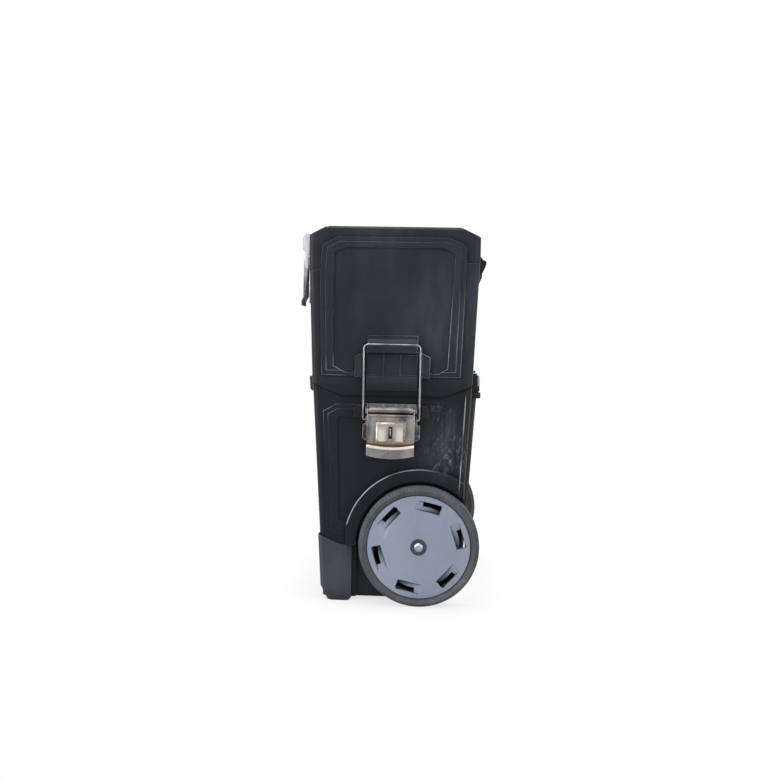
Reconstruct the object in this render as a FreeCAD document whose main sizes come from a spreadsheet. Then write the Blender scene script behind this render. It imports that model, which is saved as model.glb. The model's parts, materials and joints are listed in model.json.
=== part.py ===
import FreeCAD, Part
import math
import os
import Sketcher
from FreeCAD import Placement, Rotation, Vector

# Two-tier rolling tool box: a latched upper box that stands on a wheeled lower bin.
# X runs across the width, -Y is the front, +Y the rear, +Z up; the floor is Z = 0.
# Pieces are drawn about the boxes' middle plane, and each one's Placement moves it
# by box_mid, so that the origin is at the middle of the footprint.

DIMENSIONS = {
    # the whole
    "box_mid": 4.45,
    "wall": 3,
    "seam_gap": 0.6,
    # lower bin
    "bin_floor": 6,
    "bin_front_low": 111,
    "bin_rear_low": 117,
    "bin_half_depth": 133,
    "bin_side_low": 203.5,
    "bin_side_high": 214,
    "rim_mid": 343,
    "rim_end": 362,
    "rim_flat_half": 86,
    "rim_lip_height": 3.7,
    "rim_lip_end_height": 2.3,
    "rim_lip_inset": 2,
    "bin_corner_round": 10,
    "inner_bevel": 5,
    "plate_proud": 4,
    "frame_step": 1.2,
    "frame_step_inset": 8,
    "field_depth": 2.5,
    "well_wall_side": 197,
    "well_front": 54.5,
    "step_side": 193,
    "step_front": 5,
    "step_rear": 113,
    "step_top": 122,
    # wheels and axle
    "axle_rear": 51,
    "axle_height": 99.5,
    "axle_radius": 6,
    "boss_radius": 13,
    "running_gap": 0.05,
    "wheel_radius": 99.5,
    "wheel_width": 40,
    "wheel_inner_face": 203,
    "hub_radius": 84.5,
    "hub_face": 38,
    "cap_seat": 2.7,
    "well_radius": 105.5,
    "flare_radius": 126,
    "flare_side": 221,
    "window_count": 6,
    "window_sweep": 25,
    "window_phase": 12.4,
    "window_inner": 67.5,
    "window_outer": 75.5,
    "ramp_inner": 59.5,
    "ramp_half_length": 21,
    "ramp_depth": 8,
    # feet
    "foot_inner_side": 150,
    "foot_outer_side": 209,
    # telescopic handle
    "handle_side": 100,
    "handle_lean": 3.5,
    "handle_level": 350,
    "handle_rear": 137,
    "tube_bottom": 52,
    "tube_top": 346,
    "channel_half_width": 14.5,
    "channel_clearance": 6,
    # upper box
    "upper_bottom": 347,
    "upper_low_edge": 366,
    "upper_low_half": 133.5,
    "upper_high": 575,
    "upper_high_half": 141.6,
    "upper_side_low": 217.6,
    "upper_side_high": 224,
    "upper_plate_proud": 5,
    "seam_front": 552,
    "seam_rear": 568,
    # lid
    "lid_half_depth": 142,
    "lid_side": 221.5,
    "lid_shoulder": 609.5,
    "lid_top": 625.2,
    "lid_top_half_depth": 109,
    "lid_end_shoulder": 621.7,
    "lid_top_side": 218.5,
    "hinge_rear": 147.5,
    "hinge_height": 571,
    "hinge_radius": 5,
    "hinge_pin_radius": 2,
    "hinge_side": 150,
    # side latches
    "latch_mid": 0.7,
    "latch_pad_side": 219,
    "latch_half_width": 39.3,
    "latch_pivot_side": 229,
    "latch_pivot_height": 322,
    "latch_arm": 15,
    "latch_pin_radius": 2,
    "bail_radius": 1.65,
    "bail_half_width": 46.6,
    "bail_reach": 124,
    "bail_bend": 4,
    "bail_tip": 36.3,
    "bail_lean": 1.617,
    # front latches
    "clasp_side": 140,
    "clasp_half_width": 24,
    "clasp_pad_front": 145.5,
    "clasp_pivot_front": 152.5,
    "clasp_pivot_height": 572,
    "clasp_arm": 11,
    "clasp_pin_radius": 2,
    "claw_rod_radius": 1.6,
    "lid_keeper_half_width": 25.5,
    # carry handle in the lid
    "carry_half_width": 91,
    "carry_front": -36,
    "carry_rear": 30,
    "carry_pivot": 24,
    "carry_pivot_height": 617.5,
    "carry_stub_radius": 3,
}


class Size:
    """A number and the spreadsheet expression that gives it, so that sizes can be worked out and bound."""

    def __init__(self, number, text):
        self.number = number
        self.text = text

    def __add__(self, other):
        other = size(other)
        return Size(self.number + other.number, f"({self.text} + {other.text})")

    def __sub__(self, other):
        other = size(other)
        return Size(self.number - other.number, f"({self.text} - {other.text})")

    def __mul__(self, other):
        other = size(other)
        return Size(self.number * other.number, f"({self.text} * {other.text})")

    def __truediv__(self, other):
        other = size(other)
        return Size(self.number / other.number, f"({self.text} / {other.text})")

    def __neg__(self):
        return Size(-self.number, f"(-{self.text})")

    def __radd__(self, other):
        return size(other) + self

    def __rsub__(self, other):
        return size(other) - self

    def __rmul__(self, other):
        return size(other) * self


def size(value):
    if isinstance(value, Size):
        return value
    return Size(float(value), f"({float(value)!r})")


class Sheet:
    """The spreadsheet of driving dimensions, read by name."""

    def __init__(self, document, dimensions):
        self.sheet = document.addObject("Spreadsheet::Sheet", "Dims")
        for row, (name, number) in enumerate(dimensions.items(), start=1):
            self.sheet.set(f"A{row}", name)
            self.sheet.set(f"B{row}", str(number))
            self.sheet.setAlias(f"B{row}", name)
        document.recompute()

    def __getattr__(self, name):
        return Size(float(self.sheet.get(name)), f"Dims.{name}")


doc = FreeCAD.newDocument("RollingToolBox")
dim = Sheet(doc, DIMENSIONS)
nodes = []

PLANES = {
    "YZ": Rotation(Vector(0, 1, 0), Vector(0, 0, 1), Vector(1, 0, 0), "XYZ"),
    "XZ": Rotation(Vector(1, 0, 0), Vector(0, 0, 1), Vector(0, -1, 0), "XYZ"),
    "XY": Rotation(),
}


# ---- general building blocks ----


def bind(thing, **properties):
    for name, value in properties.items():
        thing.setExpression(name.replace("_", "."), size(value).text)


def draw(sketch, points, closed=True):
    """Fill a sketch with a polygon, closed or open, whose corners are bound to the sheet."""
    points = [(size(u), size(v)) for u, v in points]
    spots = [Vector(u.number, v.number, 0) for u, v in points]
    ends = spots[1:] + spots[:1] if closed else spots[1:]
    for start, end in zip(spots, ends):
        sketch.addGeometry(Part.LineSegment(start, end), False)
    lines = len(ends)
    for i, (u, v) in enumerate(points):
        line, point = (i, 1) if i < lines else (i - 1, 2)
        if i > 0 or closed:
            previous = i - 1 if i else lines - 1
            if i < lines:
                sketch.addConstraint(Sketcher.Constraint("Coincident", previous, 2, i, 1))
        for kind, value in (("DistanceX", u), ("DistanceY", v)):
            index = sketch.addConstraint(Sketcher.Constraint(kind, line, point, value.number))
            sketch.setExpression(f"Constraints[{index}]", value.text)


def prism(name, plane, points, low, high):
    """A solid of one outline, drawn on a row plane and run from low to high along the third axis."""
    sketch = doc.addObject("Sketcher::SketchObject", name + "_outline")
    sketch.Placement = Placement(Vector(), PLANES[plane])
    draw(sketch, points)
    solid = doc.addObject("Part::Extrusion", name)
    solid.Base = sketch
    solid.DirMode = "Normal"
    solid.Solid = True
    if plane == "XZ":
        low, high = -size(high), -size(low)
    bind(solid, LengthFwd=high, LengthRev=-size(low))
    return solid


def stepped(name, plane, points, low, high, inset):
    """A prism on an outline that is first moved in by inset all round."""
    outer = prism(name + "_outer", plane, points, low, high)
    moved = doc.addObject("Part::Offset2D", name + "_moved")
    moved.Source = outer.Base
    moved.Join = 2
    bind(moved, Value=-size(inset))
    solid = doc.addObject("Part::Extrusion", name)
    solid.Base = moved
    solid.DirMode = "Custom"
    solid.Dir = PLANES[plane].multVec(Vector(0, 0, 1))
    solid.Solid = True
    bind(solid, LengthFwd=high, LengthRev=-size(low))
    return solid


def both_sides(half):
    """A closed outline from its +u half, listed from bottom to top."""
    return half + [(-size(u), v) for u, v in reversed(half)]


def rod(name, radius, low, high, along="X", at=(0, 0, 0)):
    """A cylinder along X, Y or Z through a point, from low to high on that axis."""
    turn = {"X": Rotation(Vector(0, 1, 0), 90), "Y": Rotation(Vector(1, 0, 0), -90), "Z": Rotation()}[along]
    bar = doc.addObject("Part::Cylinder", name)
    bar.Placement = Placement(Vector(), turn)
    where = dict(zip("XYZ", at))
    where[along] = low
    bind(bar, Radius=radius, Height=size(high) - low)
    for letter, value in where.items():
        bind(bar, **{f"Placement_Base_{letter.lower()}": value})
    return bar


def cut(name, base, tool):
    result = doc.addObject("Part::Cut", name)
    result.Base = base
    result.Tool = tool
    result.Refine = True
    return result


def fuse(name, shapes):
    result = doc.addObject("Part::MultiFuse", name)
    result.Shapes = shapes
    result.Refine = True
    return result


def common(name, shapes):
    result = doc.addObject("Part::MultiCommon", name)
    result.Shapes = shapes
    result.Refine = True
    return result


def run(edge):
    start, end = edge.Vertexes[0].Point, edge.Vertexes[-1].Point
    return end - start


def fillet(name, base, radius, wanted):
    """Round the edges of a solid that the test picks out."""
    doc.recompute()
    picked = [i for i, edge in enumerate(base.Shape.Edges, start=1) if wanted(edge)]
    result = doc.addObject("Part::Fillet", name)
    result.Base = base
    result.Edges = [(i, size(radius).number, size(radius).number) for i in picked]
    return result


def chamfer(name, base, width, wanted):
    """Bevel the edges of a solid that the test picks out."""
    doc.recompute()
    picked = [i for i, edge in enumerate(base.Shape.Edges, start=1) if wanted(edge)]
    result = doc.addObject("Part::Chamfer", name)
    result.Base = base
    result.Edges = [(i, size(width).number, size(width).number) for i in picked]
    return result


def upright(least):
    return lambda edge: abs(run(edge).z) > least and abs(run(edge).z) > 0.9 * edge.Length


def rounded(name, block, wanted, inset):
    """Round a form's upright corners on the outside, and bevel them on the inside."""
    if inset.number > 0:
        return chamfer(name, block, dim.inner_bevel, wanted)
    return fillet(name, block, dim.bin_corner_round, wanted)


def pair(name, maker):
    """The same form on the left and on the right, as one shape."""
    return fuse(name, [maker(f"{name}_{word}", sign) for word, sign in (("left", -1), ("right", 1))])


def span(sign, inner, outer):
    """The X range from inner to outer on one side."""
    return (size(inner), size(outer)) if sign > 0 else (-size(outer), -size(inner))


def node(thing, label, x=0, y=0, z=0, turn=None):
    """Name a finished piece and put it in place."""
    thing.Label = label
    if turn is not None:
        thing.Placement = Placement(Vector(), turn)
    bind(thing, Placement_Base_x=x, Placement_Base_y=dim.box_mid + y, Placement_Base_z=z)
    nodes.append(thing)
    return thing


def tangent(angle):
    return Size(math.tan(math.radians(angle.number)), f"tan({angle.text} * 1 deg)")


def cosine(angle):
    return Size(math.cos(math.radians(angle.number)), f"cos({angle.text} * 1 deg)")


def octagon(u, v, radius):
    """Corners of an octagon about a point, by half its width."""
    u, v, half = size(u), size(v), size(radius)
    short = half * tangent(size(22.5))
    quarter = [(half, -short), (half, short), (short, half), (-short, half)]
    return [(u + a, v + b) for a, b in quarter] + [(u - a, v - b) for a, b in quarter]


# ---- shared lines of the two boxes ----


def handle_line(height):
    """Y of the handle tubes' centre line at a height: the tubes lean rearward."""
    return dim.handle_rear + (size(height) - dim.handle_level) * tangent(dim.handle_lean)


def seam(depth):
    """Height of the sloping parting line between upper box and lid, at a depth."""
    slope = (dim.seam_rear - dim.seam_front) / (dim.lid_half_depth * 2)
    return dim.seam_front + (size(depth) + dim.lid_half_depth) * slope


def handle_channels(name, extra):
    """The two slots for the handle tubes in the rear walls, grown by extra."""
    low, high = size(-20), size(620)
    clearance = dim.channel_clearance + extra
    outline = [
        (handle_line(low) - clearance, low),
        (190, low),
        (190, high),
        (handle_line(high) - clearance, high),
    ]

    def slot(slot_name, sign):
        inner = dim.handle_side - dim.channel_half_width - extra
        outer = dim.handle_side + dim.channel_half_width + extra
        return prism(slot_name, "YZ", outline, *span(sign, inner, outer))

    return pair(name, slot)


# ---- lower bin ----


def bin_block(name, inset):
    """The bin's tapered outside form, moved in by inset, with the rim that follows the upper box."""
    side = [
        (-(dim.bin_front_low - inset), dim.bin_floor + inset),
        (80, dim.bin_floor + inset),
        (dim.bin_rear_low - inset, 30),
        (dim.bin_half_depth - inset, dim.rim_end),
        (dim.rim_flat_half, dim.rim_mid),
        (-dim.rim_flat_half, dim.rim_mid),
        (-(dim.bin_half_depth - inset), dim.rim_end),
    ]
    front = both_sides(
        [
            (dim.bin_side_low - inset, dim.bin_floor + inset),
            (dim.bin_side_high - inset, dim.rim_end + 8),
        ]
    )
    lengthways = prism(name + "_side", "YZ", side, -260, 260)
    crossways = prism(name + "_front", "XZ", front, -200, 200)
    block = common(name + "_block", [lengthways, crossways])
    return fillet(name, block, dim.bin_corner_round, upright(150))


def bin_side_limit(name, proud):
    """The tapered slab between the two side faces, moved out by proud."""
    half = [(dim.bin_side_low + proud, dim.bin_floor), (dim.bin_side_high + proud, dim.rim_end + 8)]
    return prism(name, "XZ", both_sides(half), -200, 200)


def bin_hollow():
    """The space inside the bin, stepped over the wheel wells, the axle and the handle tubes."""
    inset = dim.wall
    side = [
        (-(dim.bin_front_low - inset), dim.bin_floor + inset),
        (dim.bin_rear_low - inset, dim.bin_floor + inset),
        (dim.bin_half_depth - inset, dim.rim_end + 8),
        (-(dim.bin_half_depth - inset), dim.rim_end + 8),
    ]
    front = both_sides(
        [
            (dim.bin_side_low - inset, dim.bin_floor + inset),
            (dim.bin_side_high - inset, dim.rim_end + 8),
        ]
    )
    block = common(
        "bin_hollow_block",
        [prism("bin_hollow_side", "YZ", side, -260, 260), prism("bin_hollow_front", "XZ", front, -200, 200)],
    )
    wells, step = wheel_wells("bin_hollow_wells", inset), axle_step("bin_hollow_step", inset)
    kept = fuse("bin_hollow_kept", [wells, step])
    inside = cut("bin_inside", rounded("bin_hollow_round", block, upright(150), inset), kept)
    spaces = fuse("bin_hollows", [inside, axle_step("bin_step", 0)])
    return cut("bin_hollow", spaces, handle_channels("bin_tube_walls", inset))


def wheel_wells(name, extra):
    """The arched spaces for the wheels, open to the side, to the rear and below."""
    below = [
        (-(dim.well_front + extra), -20),
        (200, -20),
        (200, dim.axle_height + extra),
        (-(dim.well_front + extra), dim.axle_height + extra),
    ]

    def well(well_name, sign):
        reach = span(sign, dim.well_wall_side - extra, 260)
        centre = (0, dim.axle_rear, dim.axle_height)
        arch = rod(well_name + "_arch", dim.well_radius + extra, *reach, at=centre)
        return fuse(well_name, [arch, prism(well_name + "_below", "YZ", below, *reach)])

    return pair(name, well)


def axle_step(name, extra):
    """The space under the raised rear floor, where the axle crosses."""
    rear = dim.step_rear + extra
    outline = [
        (dim.step_front - extra, -20),
        (rear, -20),
        (rear, dim.step_top + extra),
        (dim.step_front - extra, dim.step_top + extra),
    ]
    return prism(name, "YZ", outline, -(dim.step_side + extra), dim.step_side + extra)


def bin_side_plates():
    """The raised octagonal frames on both ends, and the arched flares over the wheels."""
    outline = [
        (-104.5, 118.7),
        (-84.5, 111),
        (-50, 108),
        (48, 120),
        (102, 190),
        (109, 318.5),
        (79, 331),
        (-92, 331),
        (-114, 318.5),
    ]
    low = dim.plate_proud - dim.frame_step
    raised = prism("bin_frames", "YZ", outline, -260, 260)
    plates = common("bin_plates", [raised, bin_side_limit("bin_plate_limit", low)])
    inner = stepped("bin_inner_frames", "YZ", outline, -260, 260, dim.frame_step_inset)
    inner_plates = common("bin_inner_plates", [inner, bin_side_limit("bin_inner_limit", dim.plate_proud)])
    centre = (0, dim.axle_rear, dim.axle_height)
    flare = rod("flare_disc", dim.flare_radius, -dim.flare_side, dim.flare_side, at=centre)
    body_side = [
        (-72, dim.axle_height - 4),
        (119.5, dim.axle_height - 4),
        (128, dim.rim_mid),
        (-72, dim.rim_mid),
    ]
    flares = common("flares", [flare, prism("flare_limit", "YZ", body_side, -260, 260)])
    return [plates, inner_plates, flares]


def bin_side_fields():
    """The sunk fields inside the side frames; the wheel flares stay proud of them."""
    outline = [
        (-85.5, 136),
        (-74, 132),
        (0, 132),
        (84, 180),
        (91, 300),
        (80, 310.4),
        (-86, 310.4),
        (-91, 305),
    ]
    sunk = prism("bin_field_outline", "YZ", outline, -260, 260)
    floor = bin_side_limit("bin_field_floor", dim.plate_proud - dim.field_depth)
    flare = rod("flare_keep", dim.flare_radius, -260, 260, at=(0, dim.axle_rear, dim.axle_height))
    return cut("bin_fields", sunk, fuse("bin_field_keep", [floor, flare]))


def rim_lip():
    """The lip inside the rim, set in from the walls, that the upper box rests on."""
    height, end_height = dim.rim_lip_height, dim.rim_lip_end_height

    def band(name, inset, low):
        side = [
            (-(dim.bin_half_depth - inset), dim.rim_end - low),
            (-dim.rim_flat_half, dim.rim_mid - low),
            (dim.rim_flat_half, dim.rim_mid - low),
            (dim.bin_half_depth - inset, dim.rim_end - low),
            (dim.bin_half_depth - inset, dim.rim_end + end_height),
            (dim.rim_flat_half, dim.rim_mid + height),
            (-dim.rim_flat_half, dim.rim_mid + height),
            (-(dim.bin_half_depth - inset), dim.rim_end + end_height),
        ]
        reach = dim.bin_side_high - 0.6 - inset
        return prism(name, "YZ", side, -reach, reach)

    outer = band("lip_outer", dim.rim_lip_inset, 14)
    inner = band("lip_inner", dim.rim_lip_inset + dim.wall, 30)
    return cut("rim_lip", outer, inner)


def latch_mounts():
    """The pads that carry the side latches, and the guards that stand each side of them."""
    pad = prism(
        "latch_pad",
        "YZ",
        [
            (dim.latch_mid - 50, 262),
            (dim.latch_mid + 50, 262),
            (dim.latch_mid + 50, 331),
            (dim.latch_mid - 50, 331),
        ],
        -dim.latch_pad_side,
        dim.latch_pad_side,
    )

    def guard(name, sign):
        edge = [(50, 287), (62, 290), (62, 325), (58, 329.5), (50, 329.5)]
        return prism(name, "YZ", [(dim.latch_mid + u * sign, v) for u, v in edge], -226, 226)

    return [pad, pair("latch_guards", guard)]


def lower_bin():
    walls = fuse("bin_walls", [bin_block("bin_outer", size(0))] + bin_side_plates() + latch_mounts())
    framed = cut("bin_framed", walls, bin_side_fields())
    hollows = [bin_hollow(), wheel_wells("bin_wells", 0), handle_channels("bin_channels", 0)]
    shell = cut("bin_shell", framed, fuse("bin_cuts", hollows))

    def axle_boss(name, sign):
        reach = span(sign, dim.step_side, dim.wheel_inner_face)
        return rod(name, dim.boss_radius, *reach, at=(0, dim.axle_rear, dim.axle_height))

    whole = fuse("bin_whole", [shell, pair("axle_bosses", axle_boss), rim_lip()])
    hole = rod("axle_hole", dim.axle_radius, -230, 230, at=(0, dim.axle_rear, dim.axle_height))
    last_cuts = fuse("bin_last_cuts", [hole, handle_channels("lip_channels", 0)])
    return node(cut("bin", whole, last_cuts), "lower_bin")


# ---- feet, grab rail ----


def foot(word, sign):
    """A wear foot that wraps the bin's lower front corner."""
    outline = [
        (-67, 0),
        (-62, 5),
        (-62, 93.7),
        (-78.5, 93.7),
        (-88.7, 97.2),
        (-104, 103.6),
        (-120, 110),
        (-114.5, 24),
        (-102, 0),
    ]
    reach = span(sign, dim.foot_inner_side, dim.foot_outer_side)
    block = prism(f"foot_{word}_block", "YZ", outline, *reach)
    outer_corner = dim.foot_outer_side.number

    def corner(edge):
        middle = edge.CenterOfMass
        return abs(abs(middle.x) - outer_corner) < 0.1 and middle.y < -105 and middle.z < 80

    rounded = chamfer(f"foot_{word}_round", block, 6, corner)
    return node(cut(f"foot_{word}", rounded, bin_block(f"foot_{word}_seat", size(0))), f"front_foot_{word}")


def grab_rail():
    """The upturned rail across the bin's front rim, with a finger gap behind it."""
    section = [(-144, 347), (-146, 361), (-152, 373), (-155.5, 373), (-154, 351), (-151, 347)]
    rail = prism("rail_bar", "YZ", section, -88, 88)

    def bracket(name, sign):
        stub = [(-131.9, 340), (-131.9, 359), (-146, 361), (-150, 347)]
        return prism(name, "YZ", stub, *span(sign, 74, 88))

    whole = fuse("rail_whole", [rail, pair("rail_brackets", bracket)])
    return node(cut("rail", whole, bin_block("rail_seat", size(0))), "front_grab_rail")


# ---- axle and wheels ----


def origin_feature(body, role):
    return next(f for f in body.Origin.OriginFeatures if f.Role == role)


def body_sketch(body, name, plane, offset=0):
    sketch = body.newObject("Sketcher::SketchObject", name)
    sketch.AttachmentSupport = (origin_feature(body, plane), [""])
    sketch.MapMode = "FlatFace"
    bind(sketch, AttachmentOffset_Base_z=offset)
    return sketch


def revolve(body, name, points):
    """A turned form: the half section is drawn as radius and height."""
    sketch = body_sketch(body, name + "_section", "XZ_Plane")
    draw(sketch, points)
    turned = body.newObject("PartDesign::Revolution", name)
    turned.Profile = sketch
    turned.ReferenceAxis = (sketch, ["V_Axis"])
    turned.Angle = 360
    return turned


def around(body, name, originals, count):
    pattern = body.newObject("PartDesign::PolarPattern", name)
    pattern.Originals = originals
    pattern.Axis = (origin_feature(body, "Z_Axis"), [""])
    pattern.Angle = 360
    pattern.Occurrences = int(count.number)
    body.Tip = pattern
    return pattern


def sector(sketch, inner, outer, sweep):
    """A ring sector about the sketch's origin, centred on its X axis."""
    half = math.radians(sweep.number / 2)
    for radius in (outer, inner):
        circle = Part.Circle(Vector(), Vector(0, 0, 1), radius.number)
        sketch.addGeometry(Part.ArcOfCircle(circle, -half, half), False)
    for turn in (-half, half):
        ray = Vector(math.cos(turn), math.sin(turn), 0)
        sketch.addGeometry(Part.LineSegment(ray * inner.number, ray * outer.number), False)
    rules = [
        ("Coincident", 0, 3, -1, 1),
        ("Coincident", 1, 3, -1, 1),
        ("Coincident", 2, 1, 1, 1),
        ("Coincident", 2, 2, 0, 1),
        ("Coincident", 3, 1, 1, 2),
        ("Coincident", 3, 2, 0, 2),
        ("PointOnObject", -1, 1, 2),
        ("PointOnObject", -1, 1, 3),
        ("Symmetric", 0, 1, 0, 2, -1),
    ]
    for rule in rules:
        sketch.addConstraint(Sketcher.Constraint(*rule))
    for index, radius in ((0, outer), (1, inner)):
        row = sketch.addConstraint(Sketcher.Constraint("Radius", index, radius.number))
        sketch.setExpression(f"Constraints[{row}]", radius.text)
    row = sketch.addConstraint(Sketcher.Constraint("Angle", 3, half))
    sketch.setExpression(f"Constraints[{row}]", f"{sweep.text} / 2 * 1 deg")


def wheel_placement(piece, word, label):
    """Stand a turned piece, drawn along Z from the wheel's inner face, on the axle."""
    sign = 1 if word == "right" else -1
    phase = Rotation(Vector(1, 0, 0), -sign * dim.window_phase.number)
    turn = phase.multiply(Rotation(Vector(0, 1, 0), 90 * sign))
    node(piece, label, x=dim.wheel_inner_face * sign, y=dim.axle_rear, z=dim.axle_height, turn=turn)


def wheel_hub(word):
    """A moulded disc hub with six ramped vent windows, a rim barrel and a recessed centre."""
    body = doc.addObject("PartDesign::Body", f"hub_{word}")
    face = dim.hub_face
    rim = dim.hub_radius
    bore = dim.axle_radius + dim.running_gap
    section = [
        (bore, 0.3),
        (14, 0.3),
        (14, face - 12),
        (rim - 6, face - 12),
        (rim - 6, 3),
        (rim, 3),
        (rim, face),
        (13.5, face),
        (13.5, face - 3),
        (bore, face - 3),
    ]
    revolve(body, f"hub_disc_{word}", section)
    ramp_sketch = body_sketch(body, f"ramp_side_{word}", "YZ_Plane", dim.ramp_inner)
    length = dim.ramp_half_length
    deep = face - dim.ramp_depth
    draw(ramp_sketch, [(-length, deep), (length, face), (length, face + 1), (-length, face + 1)])
    ramp = body.newObject("PartDesign::Pocket", f"ramp_{word}")
    ramp.Profile = ramp_sketch
    ramp.Reversed = True
    bind(ramp, Length=dim.window_outer - dim.ramp_inner)
    slot_sketch = body_sketch(body, f"slot_outline_{word}", "XY_Plane", face)
    sector(slot_sketch, dim.window_inner, dim.window_outer, dim.window_sweep)
    bind(slot_sketch, AttachmentOffset_Rotation_Angle=-(dim.window_sweep / 5))
    slot = body.newObject("PartDesign::Pocket", f"slot_{word}")
    slot.Profile = slot_sketch
    slot.Length = 20
    around(body, f"windows_{word}", [ramp, slot], dim.window_count)
    wheel_placement(body, word, f"wheel_hub_{word}")


def tyre(word):
    """A solid tyre on the hub's rim, with bevelled shoulders."""
    body = doc.addObject("PartDesign::Body", f"tyre_{word}")
    radius = dim.wheel_radius
    width = dim.wheel_width
    section = [
        (dim.hub_radius, 3),
        (radius - 6, 0),
        (radius, 7),
        (radius, width - 7),
        (radius - 6, width),
        (dim.hub_radius, width - 4.5),
    ]
    revolve(body, f"tyre_ring_{word}", section)
    wheel_placement(body, word, f"tyre_{word}")


def axle_cap(word):
    """The push-on dome cap that keeps the wheel on the axle."""
    body = doc.addObject("PartDesign::Body", f"cap_{word}")
    low = dim.hub_face - dim.cap_seat
    end = dim.hub_face
    section = [(0, low), (7.6, low), (7.2, end + 2.6), (4.2, end + 5), (0, end + 5)]
    revolve(body, f"cap_turned_{word}", section)
    wheel_placement(body, word, f"axle_cap_{word}")


def axle():
    """The turned steel axle, which runs right through the bin's two bosses."""
    body = doc.addObject("PartDesign::Body", "axle_turned")
    end = dim.wheel_inner_face + dim.hub_face - dim.cap_seat
    revolve(body, "axle_shank", [(0, -end), (dim.axle_radius, -end), (dim.axle_radius, end), (0, end)])
    node(body, "axle", y=dim.axle_rear, z=dim.axle_height, turn=Rotation(Vector(0, 1, 0), 90))


def wheel_set():
    axle()
    for word in ("left", "right"):
        wheel_hub(word)
        tyre(word)
        axle_cap(word)


# ---- telescopic handle ----


def tube_body(name, width, depth, wall, low, high):
    """A rectangular tube with bevelled corners along Z, open at both ends."""
    outer = handle_bar(name + "_outer", width, depth, low, high)
    inner = handle_bar(name + "_inner", width - 2 * wall, depth - 2 * wall, low - 1, high + 1)
    return cut(name, outer, inner)


def handle_bar(name, width, depth, low, high):
    half_x, half_y = size(width) / 2, size(depth) / 2
    corners = [(-half_x, -half_y), (half_x, -half_y), (half_x, half_y), (-half_x, half_y)]
    block = prism(name + "_block", "XY", corners, low, high)
    return chamfer(name, block, size(depth) * 0.22, lambda edge: abs(run(edge).z) > 0.99 * edge.Length)


def along_handle(thing, label, sign):
    """Lean a piece drawn along Z, about the point where the handle line crosses its level."""
    place = {"x": dim.handle_side * sign, "y": dim.handle_rear, "z": dim.handle_level}
    node(thing, label, turn=Rotation(Vector(-1, 0, 0), 1), **place)
    bind(thing, Placement_Rotation_Angle=dim.handle_lean)


def tube_end(height):
    """Where a height falls along the leaning handle line, from the handle's level."""
    return (height - dim.handle_level) / cosine(dim.handle_lean)


def handle_tubes(word, sign):
    low, top = tube_end(dim.tube_bottom), tube_end(dim.tube_top)
    tubes = [
        ("outer", 25, 11, 1.2, low, top),
        ("middle", 22, 8, 1, low + 8, top + 3.5),
        ("inner", 19.4, 5.4, 1, low + 14, top + 28),
    ]
    for stage, *sizes in tubes:
        along_handle(tube_body(f"{stage}_{word}", *sizes), f"handle_{stage}_tube_{word}", sign)
    collar = cut(
        f"collar_{word}",
        bracket_block(f"collar_{word}_block", 341, 350.4, 133.2, 149.2),
        leaned(f"collar_{word}_hole", 25, 11, -40, 40),
    )
    node(collar, f"handle_collar_{word}", x=dim.handle_side * sign)
    shoe = cut(
        f"shoe_{word}",
        bracket_block(f"shoe_{word}_block", 47, 66, 113, 128.5),
        leaned(f"shoe_{word}_hole", 25, 11, low, 0),
    )
    rear_face = [(60, 0), (116.8, 0), (dim.bin_half_depth, dim.rim_end), (60, dim.rim_end)]
    seated = cut(f"shoe_{word}_seated", shoe, prism(f"shoe_{word}_wall", "YZ", rear_face, -60, 60))
    node(seated, f"handle_shoe_{word}", x=dim.handle_side * sign)


def bracket_block(name, low, high, front, rear):
    block = prism(name + "_raw", "XY", [(-20, front), (20, front), (20, rear), (-20, rear)], low, high)
    return chamfer(name, block, 3, lambda edge: edge.CenterOfMass.y > rear - 0.1 and abs(run(edge).z) > 5)


def leaned(name, width, depth, low, high):
    bar = handle_bar(name, width, depth, low, high)
    bar.Placement = Placement(Vector(), Rotation(Vector(-1, 0, 0), 1))
    bind(
        bar,
        Placement_Base_y=dim.handle_rear,
        Placement_Base_z=dim.handle_level,
        Placement_Rotation_Angle=dim.handle_lean,
    )
    return bar


def handle_grip():
    """The cross grip with a fitting over each inner tube and a pocket for the release button."""
    bar = [
        (135.2, 354),
        (138.2, 351),
        (144.4, 351),
        (147.4, 354),
        (147.4, 361.8),
        (143.8, 361.8),
        (143.8, 380.5),
        (140.8, 384),
        (135.2, 384),
    ]
    half = dim.handle_side + 13
    cross = prism("grip_cross", "YZ", bar, -half, half)

    def fitting(name, sign):
        sleeve = leaned(name + "_sleeve", 24, 7.4, 8, 33)
        web = prism(name + "_web", "XY", [(-12, 134.9), (12, 134.9), (12, 140), (-12, 140)], 366, 380)
        piece = fuse(name, [sleeve, web])
        bind(piece, Placement_Base_x=dim.handle_side * sign)
        return piece

    def tube_hole(name, sign):
        hole = leaned(name, 19.4, 5.4, -10, tube_end(dim.tube_top) + 28)
        bind(hole, Placement_Base_x=dim.handle_side * sign)
        return hole

    whole = fuse("grip_whole", [cross, pair("grip_fittings", fitting)])
    holes = pair("grip_tube_holes", tube_hole)
    pocket_outline = [(-18, 137), (18, 137), (18, 141.6), (-18, 141.6)]
    pocket = prism("grip_button_pocket", "XY", pocket_outline, 370, 400)
    node(cut("grip", whole, fuse("grip_cuts", [holes, pocket])), "handle_grip")
    insert_section = [(143.8, 362), (147.4, 362), (147.7, 372), (146.4, 380.5), (143.8, 380.5)]
    insert = prism("insert", "YZ", insert_section, -half, half)
    node(insert, "grip_insert")
    button_outline = [(-17.6, 137.4), (17.6, 137.4), (17.6, 141.2), (-17.6, 141.2)]
    button = prism("button_block", "XY", button_outline, 374.5, 387)
    node(chamfer("button", button, 1, lambda edge: edge.CenterOfMass.z > 386.9), "release_button")


# ---- upper box ----


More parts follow.
